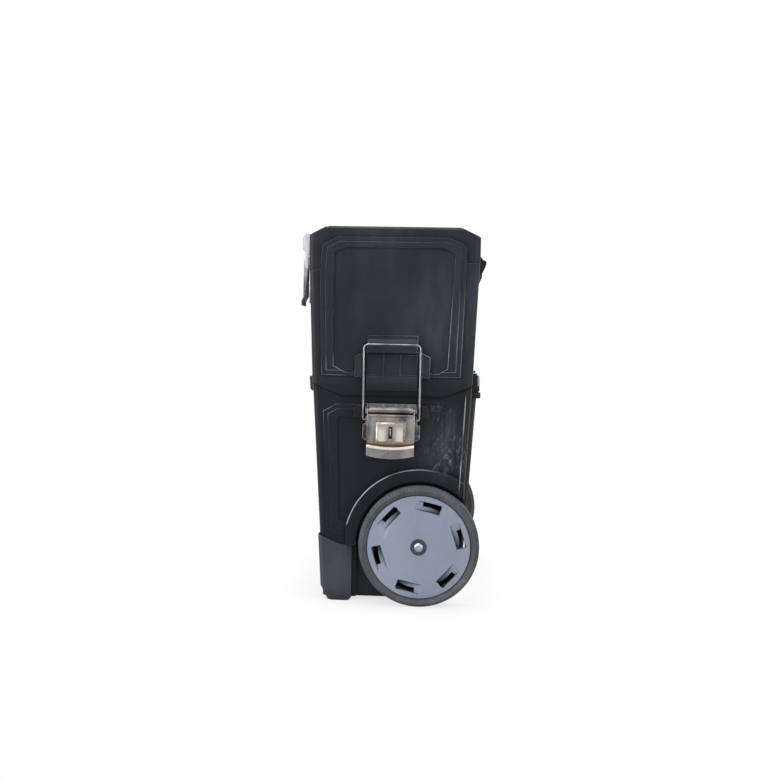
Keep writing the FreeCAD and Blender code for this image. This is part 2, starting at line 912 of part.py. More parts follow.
def upper_block(name, inset, floor):
    """The upper box's tapered outside form with its chamfered bottom, moved in by inset."""
    side = both_sides(
        [
            (dim.rim_flat_half - inset / 3, floor),
            (dim.upper_low_half - inset, dim.upper_low_edge + (floor - dim.upper_bottom)),
            (dim.upper_high_half - inset, dim.upper_high + inset),
        ]
    )
    front = both_sides(
        [
            (dim.upper_side_low - inset, floor),
            (dim.upper_side_high - inset, dim.upper_high + inset),
        ]
    )
    lengthways = prism(name + "_side", "YZ", side, -260, 260)
    crossways = prism(name + "_front", "XZ", front, -200, 200)
    block = common(name + "_block", [lengthways, crossways])
    return rounded(name, block, upright(150), inset)


def upper_side_limit(name, proud):
    slope = (dim.upper_side_high - dim.upper_side_low) / (dim.upper_high - dim.upper_bottom)
    top = size(640)
    half = [
        (dim.upper_side_low + proud, dim.upper_bottom),
        (dim.upper_side_low + proud + (top - dim.upper_bottom) * slope, top),
    ]
    return prism(name, "XZ", both_sides(half), -200, 200)


def above_seam(name, reach):
    outline = [(-190, seam(-190)), (190, seam(190)), (190, 700), (-190, 700)]
    return prism(name, "YZ", outline, -size(reach), reach)


def upper_side_plates():
    """The raised octagonal end frames, which stand up outside the lid's ends."""
    outline = [
        (-117, 379),
        (113, 379),
        (119, 560),
        (118.5, 591),
        (114.5, 597),
        (91, 607),
        (-92, 607),
        (-118, 593.5),
        (-121.5, 549),
    ]
    low = dim.upper_plate_proud - dim.frame_step
    raised = prism("upper_frames", "YZ", outline, -260, 260)
    plates = common("upper_plates", [raised, upper_side_limit("upper_plate_limit", low)])
    inner = stepped("upper_inner_frames", "YZ", outline, -260, 260, dim.frame_step_inset)
    limit = upper_side_limit("upper_inner_limit", dim.upper_plate_proud)
    inner_plates = common("upper_inner_plates", [inner, limit])
    both = fuse("upper_both_plates", [plates, inner_plates])
    return cut("upper_plates_clear", both, above_seam("lid_clearance", dim.lid_side + 1))


def upper_side_fields():
    outline = [
        (-77.8, 384),
        (78.3, 384),
        (92, 393),
        (101, 580),
        (83, 590),
        (-81, 590),
        (-99.5, 582),
        (-97.5, 394.5),
    ]
    sunk = prism("upper_field_outline", "YZ", outline, -260, 260)
    floor = upper_side_limit("upper_field_floor", dim.upper_plate_proud - dim.field_depth)
    return cut("upper_fields", sunk, floor)


def keepers():
    """The keeper blocks that the side latches' bails pull down on, with guards each side."""
    section = [
        (232, 356),
        (232, 378),
        (228, 381),
        (228, 414),
        (236, 418),
        (236, 430),
        (234.9, 429.2),
        (229, 429.2),
        (229, 433.5),
        (222, 446),
    ]
    low, high = dim.latch_mid - 41.5, dim.latch_mid + 41.5
    block = prism("keeper_block", "XZ", both_sides(section), low, high)

    def guard(name, sign):
        edge = [(50, 377), (62, 377), (62, 411), (50, 417)]
        return prism(name, "YZ", [(dim.latch_mid + u * sign, v) for u, v in edge], -231.5, 231.5)

    def rib(name, sign):
        reach = span(sign, 13, 15)
        sides = [(dim.latch_mid + reach[0], 380), (dim.latch_mid + reach[1], 380)]
        sides += [(dim.latch_mid + reach[1], 415), (dim.latch_mid + reach[0], 415)]
        return prism(name, "YZ", sides, -229.5, 229.5)

    return [block, pair("keeper_guards", guard), pair("keeper_ribs", rib)]


def hinge_knuckle(name, low, high, web):
    """A hinge knuckle with its web, between two places along X."""
    outline = octagon(dim.hinge_rear, dim.hinge_height, dim.hinge_radius)
    barrel = prism(name + "_barrel", "YZ", outline, low, high)
    return fuse(name, [barrel, prism(name + "_web", "YZ", web, low, high)])


def box_hinge(word, sign):
    """Two knuckles on the upper box's rear wall, with the hinge pin between them."""
    name = f"box_hinge_{word}"
    wedge = [(139, 539), (152.3, 568.5), (147.5, 571), (144, 567.5), (139, 564)]
    pieces = []
    for word, inner, outer in (("a", -29, -14.5), ("b", 14.5, 29)):
        reach = span(sign, dim.hinge_side + inner, dim.hinge_side + outer)
        pieces.append(hinge_knuckle(f"{name}_{word}", *reach, wedge))
    reach = span(sign, dim.hinge_side - 20, dim.hinge_side + 20)
    pieces.append(rod(name + "_pin", dim.hinge_pin_radius, *reach, at=(0, dim.hinge_rear, dim.hinge_height)))
    wall = upper_block(name + "_wall", size(0), dim.upper_bottom)
    return node(cut(name, fuse(name + "_whole", pieces), wall), name)


def clasp_pads(name, sign):
    """The boss on the front wall that carries a front latch."""
    outline = [(-134, 488), (-134, 551), (-dim.clasp_pad_front, 551), (-dim.clasp_pad_front, 500)]
    return prism(name, "YZ", outline, *span(sign, dim.clasp_side - 32, dim.clasp_side + 32))


def upper_box():
    outer = upper_block("upper_outer", size(0), dim.upper_bottom)
    block = cut("upper_trimmed", outer, above_seam("upper_top_cut", 260))
    spigot = prism("upper_spigot", "XY", [(-206, -80), (206, -80), (206, 80), (-206, 80)], 338, 352)
    outside = [block, upper_side_plates(), spigot] + keepers() + [pair("clasp_pads", clasp_pads)]
    framed = cut("upper_framed", fuse("upper_walls", outside), upper_side_fields_clear())
    hollow = upper_block("upper_hollow", dim.wall, dim.upper_bottom + dim.wall)
    return node(cut("upper", framed, hollow), "upper_box")


def upper_side_fields_clear():
    """The sunk end fields, cut short of the keepers and their guards."""
    half = [(62, 340), (62, 411), (50, 417), (41.5, 420), (41.5, 446)]
    outline = [(dim.latch_mid + u, v) for u, v in both_sides(half)]
    keep = prism("keeper_keep", "YZ", outline, -260, 260)
    return cut("upper_fields_clear", upper_side_fields(), keep)


# ---- lid ----


def lid_block(name, inset, low_front, low_rear):
    """The lid's chamfered form, moved in by inset."""
    half_depth = dim.lid_half_depth - inset
    shoulder = dim.lid_shoulder - inset * 0.6
    top = dim.lid_top - inset
    side = [
        (-half_depth, low_front),
        (half_depth, low_rear),
        (half_depth, shoulder),
        (dim.lid_top_half_depth - inset * 0.4, top),
        (-(dim.lid_top_half_depth - inset * 0.4), top),
        (-half_depth, shoulder),
    ]
    front = both_sides(
        [
            (dim.lid_side - inset, 500),
            (dim.lid_side - inset, dim.lid_end_shoulder - inset * 0.6),
            (dim.lid_top_side - inset * 0.4, top),
        ]
    )
    lengthways = prism(name + "_side", "YZ", side, -260, 260)
    crossways = prism(name + "_front", "XZ", front, -200, 200)
    block = common(name + "_block", [lengthways, crossways])
    return rounded(name, block, upright(35), inset)


def lid_keeper(name, sign):
    """The boss on the lid's front chamfer that a front latch's claw hooks over."""
    outline = [
        (-136, 588),
        (-143, 593),
        (-150.5, 601),
        (-150.5, 611.5),
        (-149.3, 612.5),
        (-143.5, 612.5),
        (-143.5, 619),
        (-121, 630.5),
        (-110, 628),
        (-103, 622),
        (-136, 604),
    ]
    half = dim.lid_keeper_half_width
    return prism(name, "YZ", outline, *span(sign, dim.clasp_side - half, dim.clasp_side + half))


def lid_hinge(word, sign):
    """The lid's knuckle, which turns on the pin between the upper box's two."""
    name = f"lid_hinge_{word}"
    web = [(140.5, 570.5), (147.5, 571), (149, 575.5), (141, 586)]
    reach = span(sign, dim.hinge_side - 14.2, dim.hinge_side + 14.2)
    bore = dim.hinge_pin_radius + dim.running_gap
    hole = rod(name + "_hole", bore, -230, 230, at=(0, dim.hinge_rear, dim.hinge_height))
    wall = lid_block(name + "_wall", size(0), *lid_edges())
    tools = fuse(name + "_cuts", [hole, wall])
    return node(cut(name, hinge_knuckle(name + "_knuckle", *reach, web), tools), name)


def lid_edges():
    """Heights of the lid's lower edge at its front and at its rear."""
    reach = dim.lid_half_depth
    return seam(-reach) + dim.seam_gap, seam(reach) + dim.seam_gap


def carry_recess(name, inset, low, high):
    """The handle recess in the lid's top, with a scoop for the fingers in front."""
    half = dim.carry_half_width + 5 - inset
    outline = both_sides(
        [
            (38 - inset, -54 + inset),
            (44 - inset, -42 + inset),
            (half, -42 + inset),
            (half, 38 - inset),
        ]
    )
    return prism(name, "XY", outline, low, high)


def carry_stub(name, sign):
    """The stub on each side of the recess that the carry handle turns on."""
    reach = span(sign, dim.carry_half_width - 10, dim.carry_half_width + 5.5)
    return rod(name, dim.carry_stub_radius, *reach, at=(0, dim.carry_pivot, dim.carry_pivot_height))


def lid():
    low_front, low_rear = lid_edges()
    outside = [lid_block("lid_outer", size(0), low_front, low_rear), pair("lid_keepers", lid_keeper)]
    hollow = lid_block("lid_inside", dim.wall, low_front - 20, low_rear - 20)
    shell = cut("lid_shell", fuse("lid_walls", outside), hollow)
    tray = carry_recess("recess_tray", size(-3), 606, dim.lid_top)
    recess = carry_recess("recess_space", size(0), 609, dim.lid_top + 5)
    with_tray = cut("lid_open", fuse("lid_tray", [shell, tray]), recess)
    return node(fuse("lid", [with_tray, pair("carry_stubs", carry_stub)]), "lid")


def carry_handle():
    """The folding handle that lies flush in the lid's top."""
    half = dim.carry_half_width
    outline = [
        (-half, dim.carry_front),
        (half, dim.carry_front),
        (half, dim.carry_rear),
        (half - 14, dim.carry_rear),
        (half - 14, dim.carry_front + 16),
        (-(half - 14), dim.carry_front + 16),
        (-(half - 14), dim.carry_rear),
        (-half, dim.carry_rear),
    ]
    low, high = dim.carry_pivot_height - 5.5, dim.carry_pivot_height + 5.5
    block = prism("carry_block", "XY", outline, low, high)
    bow = chamfer("carry_bow", block, 2, lambda edge: abs(run(edge).z) < 0.1)
    bore = dim.carry_stub_radius + dim.running_gap
    hole = rod("carry_hole", bore, -130, 130, at=(0, dim.carry_pivot, dim.carry_pivot_height))
    node(cut("carry", bow, hole), "carry_handle")


# ---- side latches, drawn for the right side about the latch's own middle ----


def side_latch_base():
    outline = both_sides([(43.5, 272), (47.5, 276), (47.5, 298), (42.3, 300), (42.3, 333)])
    plate = prism("base_plate", "YZ", outline, dim.latch_pad_side, dim.latch_pad_side + 1.5)
    pivot, height = dim.latch_pivot_side, dim.latch_pivot_height
    barrel = prism("base_barrel", "XZ", octagon(pivot, height, 5.2), -35.5, 35.5)
    web = prism("base_web", "XZ", [(219.5, 317), (226, 317), (226, 327), (219.5, 327)], -35.5, 35.5)
    ear = [(219.5, 311), (230, 314.6), (235, 319), (235, 325), (230, 329.5), (219.5, 333)]
    ears = [
        prism(f"base_ear_{word}", "XZ", ear, low, high)
        for word, low, high in (("front", -42.2, -40.6), ("rear", 40.6, 42.2))
    ]
    loop = [(220, 279), (239.5, 280.5), (241, 283), (241, 291), (239.5, 293.5), (220, 295)]
    staple = prism("base_staple", "XZ", loop, -1, 1)
    pivot_pin = rod("base_pin", dim.latch_pin_radius, -41.4, 41.4, along="Y", at=(pivot, 0, height))
    return fuse("base", [plate, barrel, web, staple, pivot_pin] + ears)


def side_latch_lever():
    """The pressed lever: plate, side flanges, embossed panel with its slot, and a curved thumb lip."""
    half = dim.latch_half_width
    pivot, height = dim.latch_pivot_side, dim.latch_pivot_height
    plate = prism("lever_plate", "XZ", [(235.2, 315), (236.8, 315), (236.8, 258), (235.2, 258)], -half, half)
    bead = rod("lever_bead", 2.6, -(half - 1.5), half - 1.5, along="Y", at=(236.4, 0, 314))
    flange = [
        (224.5, 322),
        (226.3, 326.6),
        (231.7, 326.6),
        (236.8, 317),
        (236.8, 260),
        (233, 264),
        (231, 300.5),
        (226.5, 302.5),
        (224.2, 307),
    ]
    flanges = [
        prism(f"lever_flange_{word}", "XZ", flange, low, high)
        for word, low, high in (("front", -half, -half + 1.5), ("rear", half - 1.5, half))
    ]
    emboss = doc.addObject("Part::Wedge", "lever_emboss")
    emboss.Placement = Placement(Vector(), Rotation(Vector(0, 0, 1), -90))
    bind(emboss, Placement_Base_x=236.6, Xmin=-24.7, Xmax=24.7, X2min=-21, X2max=21, Ymin=0, Ymax=1.8)
    bind(emboss, Zmin=269.5, Zmax=304, Z2min=273, Z2max=300.5)
    lip_side = [(235.2, 240), (241.8, 240), (241.8, 265), (236.4, 269.2), (235.2, 269.2)]
    lip_block = prism("lip_block", "XZ", lip_side, -half, half)
    lip_low = rod("lip_low", 150, 200, 260, at=(0, 0, 393.5))
    lip_high = rod("lip_high", 200, 236.9, 260, at=(0, 0, 462.5))
    lip = cut("lip", common("lip_band", [lip_block, lip_low]), lip_high)
    body = fuse("lever_body", [plate, bead, emboss, lip] + flanges)
    slot = prism("lever_slot", "YZ", [(-2.9, 277.2), (2.9, 277.2), (2.9, 296), (-2.9, 296)], 230, 245)
    gap = dim.running_gap
    foot_height = height - dim.latch_arm
    pin_hole = rod("lever_pin_hole", dim.latch_pin_radius + gap, -60, 60, along="Y", at=(pivot, 0, height))
    reach = dim.bail_radius + gap
    hole_outline = [
        (pivot - reach, foot_height - reach),
        (pivot + reach, foot_height - reach),
        (pivot + reach, foot_height + reach),
        (pivot - reach, foot_height + reach),
    ]
    bail_hole = prism("lever_bail_hole", "XZ", hole_outline, -60, 60)
    return cut("lever", body, fuse("lever_holes", [slot, pin_hole, bail_hole]))


def wire_bail():
    """A wire loop: in through the lever's flanges at the bottom, over the keeper at the top."""
    half, reach, bend = dim.bail_half_width, dim.bail_reach, dim.bail_bend
    path = doc.addObject("Sketcher::SketchObject", "bail_path")
    path.Placement = Placement(Vector(), PLANES["YZ"])
    right = [(dim.bail_tip, 0), (half, 0), (half, reach - bend), (half - bend, reach)]
    draw(path, right + [(-u, v) for u, v in reversed(right)], closed=False)
    ring = doc.addObject("Part::RegularPolygon", "bail_ring")
    ring.Polygon = 8
    ring.Placement = Placement(Vector(), Rotation(Vector(1, 0, 0), 90))
    bind(ring, Circumradius=dim.bail_radius - 0.05, Placement_Base_y=dim.bail_tip)
    doc.recompute()
    wire = doc.addObject("Part::Sweep", "bail_wire")
    wire.Sections = [ring]
    wire.Spine = (path, [f"Edge{i + 1}" for i in range(len(path.Shape.Edges))])
    wire.Solid = True
    wire.Transition = "Right corner"

    def tip(name, sign):
        return rod(name, dim.bail_radius, *span(sign, dim.bail_tip, half - 3), along="Y")

    return fuse("bail", [wire, pair("bail_tips", tip)])


def side_latches():
    """Both side latches: the left one is the right one turned half a turn about Z."""
    for word, turn in (("right", 0), ("left", 180)):
        about = Rotation(Vector(0, 0, 1), turn)
        sign = 1 if word == "right" else -1
        node(side_latch_base(), f"side_latch_base_{word}", y=dim.latch_mid, turn=about)
        node(side_latch_lever(), f"side_latch_lever_{word}", y=dim.latch_mid, turn=about)
        bail = wire_bail()
        lean = Rotation(Vector(0, 1, 0), dim.bail_lean.number)
        foot_height = dim.latch_pivot_height - dim.latch_arm
        place = {"x": dim.latch_pivot_side * sign, "y": dim.latch_mid, "z": foot_height}
        node(bail, f"side_latch_bail_{word}", turn=about.multiply(lean), **place)


# ---- front latches, drawn about X = 0 ----


def clasp_base():
    front, height = dim.clasp_pivot_front, dim.clasp_pivot_height
    pad = dim.clasp_pad_front
    plate = prism("clasp_plate", "YZ", [(-pad, 499), (-pad, 578), (-pad - 2, 578), (-pad - 2, 499)], -28, 28)
    ear = [
        (-pad - 1, 562),
        (-pad - 1, 579),
        (-front - 3, 577.5),
        (-front - 5, 573),
        (-front - 4, 568.5),
        (-front, 566.5),
    ]
    ears = [
        prism(f"clasp_ear_{word}", "YZ", ear, low, high)
        for word, low, high in (("left", -26, -24.6), ("right", 24.6, 26))
    ]
    pivot_pin = rod("clasp_pin", dim.clasp_pin_radius, -25, 25, at=(0, -front, height))
    return fuse("clasp_base", [plate, pivot_pin] + ears)


def clasp_lever():
    half = dim.clasp_half_width
    front, height = dim.clasp_pivot_front, dim.clasp_pivot_height
    skin = [
        (-front - 4.2, 574.5),
        (-front - 4.2, 510),
        (-front - 7.4, 503),
        (-front - 7.4, 495.5),
        (-front - 8.9, 495.5),
        (-front - 8.9, 503.5),
        (-front - 5.7, 510.5),
        (-front - 5.7, 574.5),
    ]
    plate = prism("clasp_skin", "YZ", skin, -half, half)
    flange = [
        (-front - 5, 574.5),
        (-front - 5, 508),
        (-front - 2, 514),
        (-front + 1.5, 556.5),
        (-front + 3.6, 559.5),
        (-front + 4, 572),
        (-front + 1.5, 576.5),
    ]
    flanges = [
        prism(f"clasp_flange_{word}", "YZ", flange, low, high)
        for word, low, high in (("left", -half, -half + 1.4), ("right", half - 1.4, half))
    ]
    gap = dim.running_gap
    pin_hole = rod("clasp_pin_hole", dim.clasp_pin_radius + gap, -40, 40, at=(0, -front, height))
    reach = dim.claw_rod_radius + gap
    claw_height = height - dim.clasp_arm
    hole_outline = [
        (-front - reach, claw_height - reach),
        (-front + reach, claw_height - reach),
        (-front + reach, claw_height + reach),
        (-front - reach, claw_height + reach),
    ]
    claw_hole = prism("clasp_claw_hole", "YZ", hole_outline, -40, 40)
    body = fuse("clasp_lever_whole", [plate] + flanges)
    return cut("clasp_lever", body, fuse("clasp_holes", [pin_hole, claw_hole]))


def clasp_claw():
    """The claw: two D-shaped side plates, joined by a hooked front plate and a rod at its foot."""
    front = dim.clasp_pivot_front
    foot_height = dim.clasp_pivot_height - dim.clasp_arm
    side = [
        (-front + 2.6, foot_height - 2.6),
        (-front + 2.6, 581),
        (-145.5, 588),
        (-144, 594),
        (-144, 613),
        (-145.3, 617),
        (-154.5, 618),
        (-160.3, 610),
        (-160.3, 593),
        (-155.5, 585),
        (-front - 2.6, 580),
        (-front - 2.6, foot_height - 2.6),
    ]
    sides = [
        prism(f"claw_side_{word}", "YZ", side, low, high)
        for word, low, high in (("left", -28.4, -26.8), ("right", 26.8, 28.4))
    ]
    hook = [
        (-155.5, 585),
        (-160.3, 593),
        (-160.3, 610),
        (-154.5, 618),
        (-145.3, 617),
        (-145.3, 613),
        (-146.7, 613),
        (-146.9, 615.6),
        (-153.9, 616.3),
        (-158.7, 609.4),
        (-158.7, 593.6),
        (-154.2, 586),
    ]
    plate = prism("claw_plate", "YZ", hook, -28.4, 28.4)
    foot_rod = rod("claw_rod", dim.claw_rod_radius, -27.5, 27.5, at=(0, -front, foot_height))
    return fuse("claw", sides + [plate, foot_rod])


def front_latches():
    for word, sign in (("left", -1), ("right", 1)):
        side = dim.clasp_side * sign
        node(clasp_base(), f"front_latch_base_{word}", x=side)
        node(clasp_lever(), f"front_latch_lever_{word}", x=side)
        node(clasp_claw(), f"front_latch_claw_{word}", x=side)


# ---- build, check and write ----


def check():
    """Stop at any object that failed, and at any finished piece that isn't one valid solid."""
    for thing in doc.Objects:
        bad = {"Invalid", "Error"} & set(thing.State)
        if bad:
            raise RuntimeError(f"{thing.Name} is {bad}")
    for piece in nodes:
        shape = piece.Shape
        if shape.isNull() or not shape.isValid():
            raise RuntimeError(f"{piece.Label} has no valid shape")
        if len(shape.Solids) != 1:
            raise RuntimeError(f"{piece.Label} has {len(shape.Solids)} solids")


def write():
    os.makedirs("parts", exist_ok=True)
    for piece in nodes:
        piece.Shape.exportStep(f"parts/{piece.Label}.step")


lower_bin()
for side_word, side_sign in (("left", -1), ("right", 1)):
    foot(side_word, side_sign)
    handle_tubes(side_word, side_sign)
    box_hinge(side_word, side_sign)
    lid_hinge(side_word, side_sign)
grab_rail()
wheel_set()
handle_grip()
upper_box()
lid()
carry_handle()
side_latches()
front_latches()
doc.recompute()
check()
write()
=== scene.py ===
import json
import math

import bpy
from mathutils import Matrix, Vector


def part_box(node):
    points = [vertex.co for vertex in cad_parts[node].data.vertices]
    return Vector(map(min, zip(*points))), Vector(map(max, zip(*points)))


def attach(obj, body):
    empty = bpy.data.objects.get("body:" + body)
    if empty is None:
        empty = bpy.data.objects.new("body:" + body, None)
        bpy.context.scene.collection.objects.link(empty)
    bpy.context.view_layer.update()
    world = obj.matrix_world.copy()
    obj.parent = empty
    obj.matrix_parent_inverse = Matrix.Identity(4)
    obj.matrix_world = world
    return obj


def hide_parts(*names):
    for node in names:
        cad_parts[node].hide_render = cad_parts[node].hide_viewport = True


# Looks for a two-tier rolling tool box. Metres; +X is its right end, -Y its front, +Z up.

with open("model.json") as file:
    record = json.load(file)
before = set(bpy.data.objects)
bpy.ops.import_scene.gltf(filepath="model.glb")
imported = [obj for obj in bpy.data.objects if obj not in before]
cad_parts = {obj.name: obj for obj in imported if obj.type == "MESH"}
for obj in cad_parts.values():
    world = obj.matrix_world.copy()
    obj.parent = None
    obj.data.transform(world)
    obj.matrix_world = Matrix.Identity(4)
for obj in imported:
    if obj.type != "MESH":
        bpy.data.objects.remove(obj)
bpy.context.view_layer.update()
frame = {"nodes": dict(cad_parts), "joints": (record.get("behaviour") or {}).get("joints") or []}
nodes = frame["nodes"]
joints = {joint["name"]: joint for joint in frame["joints"]}

# ---- camera, in the frame's metres ----

CAMERA_PLACE = Vector((1.942, 0.11025, 0.424))
CAMERA_YAW = math.radians(3.60)
CAMERA_PITCH = math.radians(-2.28)
CAMERA_ROLL = math.radians(1.2)
CAMERA_LENS = 48.15
SENSOR_WIDTH = 36.0


def make_camera():
    """A level camera that looks along -X, turned towards the front, then down, then rolled."""
    data = bpy.data.cameras.new("camera")
    data.sensor_fit = "HORIZONTAL"
    data.sensor_width = SENSOR_WIDTH
    data.lens = CAMERA_LENS
    camera = bpy.data.objects.new("camera", data)
    bpy.context.scene.collection.objects.link(camera)
    level = Matrix(((0, 0, 1), (1, 0, 0), (0, 1, 0)))
    yaw = Matrix.Rotation(CAMERA_YAW, 3, "Z")
    pitch = Matrix.Rotation(CAMERA_PITCH, 3, "X")
    roll = Matrix.Rotation(CAMERA_ROLL, 3, "Z")
    camera.matrix_world = Matrix.Translation(CAMERA_PLACE) @ (yaw @ level @ pitch @ roll).to_4x4()
    bpy.context.scene.camera = camera


# ---- light, floor and background ----

LIGHT_AIM = (0, 0, 0.35)
COOL_LIGHT = (0.94, 0.97, 1)
SKY_STRENGTH = 0.55
SKY_SHADES = [
    (0.0, (0.07, 0.07, 0.075)),
    (0.2, (0.11, 0.11, 0.12)),
    (0.5, (0.3, 0.31, 0.33)),
    (0.9, (0.7, 0.71, 0.74)),
]
FLOOR_HALF = 4
FLOOR_COLOUR = (0.8, 0.8, 0.8, 1)
SHADOW_REACH = 0.12
SHADOW_SHADES = [(0.0, (0.72, 0.72, 0.74)), (0.85, (1, 1, 1))]


def area_light(name, place, size, power, tint=(1, 1, 1)):
    """A soft rectangular lamp that points at the box."""
    data = bpy.data.lights.new(name, "AREA")
    data.shape = "RECTANGLE"
    data.size, data.size_y = size
    data.energy = power
    data.color = tint
    light = bpy.data.objects.new(name, data)
    bpy.context.scene.collection.objects.link(light)
    light.location = place
    light.rotation_euler = (Vector(LIGHT_AIM) - Vector(place)).to_track_quat("-Z", "Y").to_euler()


def make_lights():
    """Soft lights overhead, weaker ones around, and two tall strips that draw the edges."""
    area_light("key", (1.1, -0.8, 2.0), size=(1.3, 1.3), power=27)
    area_light("top", (0.3, 0.3, 2.3), size=(1.6, 1.6), power=27)
    area_light("front", (0.9, -2.4, 0.9), size=(1.4, 1.2), power=16)
    area_light("fill", (2.3, 1.0, 0.9), size=(1.2, 1.2), power=9, tint=(0.97, 0.98, 1))
    area_light("back", (-1.8, 0.5, 1.6), size=(1.5, 1.5), power=20)
    area_light("front_strip", (1.3, -2.1, 0.7), size=(0.25, 1.6), power=16, tint=COOL_LIGHT)
    area_light("rear_strip", (1.3, 2.2, 0.6), size=(0.2, 1.6), power=16, tint=COOL_LIGHT)


def plain_view():
    """Colours shown as they are, without a film look."""
    bpy.context.scene.view_settings.view_transform = "Standard"


def by_ray(tree, lit, seen):
    """The seen shader for rays of the camera, gloss, metal and glass, and the lit one for the rest."""
    path = node(tree, "ShaderNodeLightPath").outputs
    shows = math_node(tree, "MAXIMUM", path["Is Camera Ray"], path["Is Glossy Ray"])
    shows = math_node(tree, "MAXIMUM", shows, path["Is Transmission Ray"])
    both = node(tree, "ShaderNodeMixShader")
    for socket, source in zip(both.inputs, (shows, lit.outputs[0], seen.outputs[0])):
        tree.links.new(source, socket)
    return both.outputs[0]


def make_world():
    """White where it is seen; for the light that falls on the box, paler above than below."""
    world = bpy.data.worlds.new("studio")
    bpy.context.scene.world = world
    world.use_nodes = True
    tree = world.node_tree
    tree.nodes.clear()
    place = node(tree, "ShaderNodeTexCoord")
    height = node(tree, "ShaderNodeSeparateXYZ", Vector=place.outputs["Generated"])
    sky = ramp(tree, height.outputs["Z"], SKY_SHADES)
    lit = node(tree, "ShaderNodeBackground", Color=sky, Strength=SKY_STRENGTH)
    seen = node(tree, "ShaderNodeBackground", Color=(1, 1, 1, 1), Strength=1)
    node(tree, "ShaderNodeOutputWorld", Surface=by_ray(tree, lit, seen))


def make_floor():
    """A wide pale floor: white with a soft shadow where it is seen, matt to everything else."""
    mesh = bpy.data.meshes.new("floor")
    signs = ((-1, -1), (1, -1), (1, 1), (-1, 1))
    mesh.from_pydata([(x * FLOOR_HALF, y * FLOOR_HALF, 0) for x, y in signs], [], [(0, 1, 2, 3)])
    floor = bpy.data.objects.new("floor", mesh)
    bpy.context.scene.collection.objects.link(floor)
    material = bpy.data.materials.new("pale_floor")
    material.use_nodes = True
    tree = material.node_tree
    tree.nodes.clear()
    lit = node(tree, "ShaderNodeBsdfDiffuse", Color=FLOOR_COLOUR)
    shade = ramp(tree, openness(tree, SHADOW_REACH, samples=8), SHADOW_SHADES)
    seen = node(tree, "ShaderNodeEmission", Color=shade, Strength=1)
    node(tree, "ShaderNodeOutputMaterial", Surface=by_ray(tree, lit, seen))
    mesh.materials.append(material)


# ---- building blocks for node materials ----

AXLE_Y, AXLE_Z = joints["wheel_right_spin"]["pos_m"][1:]
EDGE_SAMPLES = 6
EDGE_TURNS = (0.02, 0.25)


def set_input(tree, socket, value):
    """Give a socket a value, or link it to another node's socket."""
    if isinstance(value, bpy.types.NodeSocket):
        tree.links.new(value, socket)
    else:
        socket.default_value = value


def node(tree, kind, **inputs):
    """A shader node whose inputs are set to a value or linked from another node."""
    made = tree.nodes.new(kind)
    for name, value in inputs.items():
        set_input(tree, made.inputs[name.replace("_", " ")], value)
    return made


def math_node(tree, operation, first, second=0.0, third=0.0, clamp=False):
    """One sum, of numbers or sockets."""
    made = tree.nodes.new("ShaderNodeMath")
    made.operation = operation
    made.use_clamp = clamp
    for socket, value in zip(made.inputs, (first, second, third)):
        set_input(tree, socket, value)
    return made.outputs[0]


def product(tree, first, *others):
    """Factors multiplied together."""
    for other in others:
        first = math_node(tree, "MULTIPLY", first, other)
    return first


def opposite(tree, mask):
    """1 where the mask is 0, and 0 where it is 1."""
    return math_node(tree, "SUBTRACT", 1.0, mask)


def between(tree, factor, limits):
    """The first limit where the factor is 0, the second where it is 1."""
    low, high = limits
    return math_node(tree, "MULTIPLY_ADD", factor, high - low, low)


def ramp(tree, factor, stops):
    """A colour ramp from (place, colour) stops."""
    made = tree.nodes.new("ShaderNodeValToRGB")
    tree.links.new(factor, made.inputs["Fac"])
    elements = made.color_ramp.elements
    while len(elements) < len(stops):
        elements.new(0.5)
    for element, (place, colour) in zip(elements, stops):
        element.position = place
        element.color = (*colour, 1)
    return made.outputs["Color"]


def grey_ramp(tree, factor, low, high):
    """0 below low, 1 above high."""
    return ramp(tree, factor, [(low, (0, 0, 0)), (high, (1, 1, 1))])


def step_node(tree, value, low, high):
    """Any number, in metres too: 0 at low, 1 at high, smooth between."""
    made = node(tree, "ShaderNodeMapRange", Value=value, From_Min=low, From_Max=high)
    made.interpolation_type = "SMOOTHSTEP"
    return made.outputs["Result"]


def band(tree, value, middle, half, soft):
    """1 within half of the middle, fading over soft."""
    away = math_node(tree, "ABSOLUTE", math_node(tree, "SUBTRACT", value, middle))
    return step_node(tree, away, half + soft, half)


def mix(tree, factor, first, second):
    """A blend of two colours, each a socket or three numbers."""
    made = tree.nodes.new("ShaderNodeMix")
    made.data_type = "RGBA"
    set_input(tree, made.inputs[0], factor)
    for socket, colour in ((made.inputs[6], first), (made.inputs[7], second)):
        is_socket = isinstance(colour, bpy.types.NodeSocket)
        set_input(tree, socket, colour if is_socket else (*colour, 1))
    return made.outputs[2]


def paint(tree, under, colour, *masks):
    """A colour laid over another, as strongly as the masks multiplied."""
    return mix(tree, product(tree, *masks), under, colour)


def place_at_rest(tree):
    """The surface's place in the frame, in metres, as it is before any joint moves."""
    return node(tree, "ShaderNodeTexCoord").outputs["Object"]


def axes(tree):
    """The X, Y and Z sockets of the place at rest."""
    return node(tree, "ShaderNodeSeparateXYZ", Vector=place_at_rest(tree)).outputs


def from_axle(tree):
    """How far a place is from the wheels' axis, and its angle about it."""
    where = axes(tree)
    y = math_node(tree, "SUBTRACT", where["Y"], AXLE_Y)
    z = math_node(tree, "SUBTRACT", where["Z"], AXLE_Z)
    square = math_node(tree, "MULTIPLY_ADD", y, y, product(tree, z, z))
    return math_node(tree, "SQRT", square), math_node(tree, "ARCTAN2", z, y)


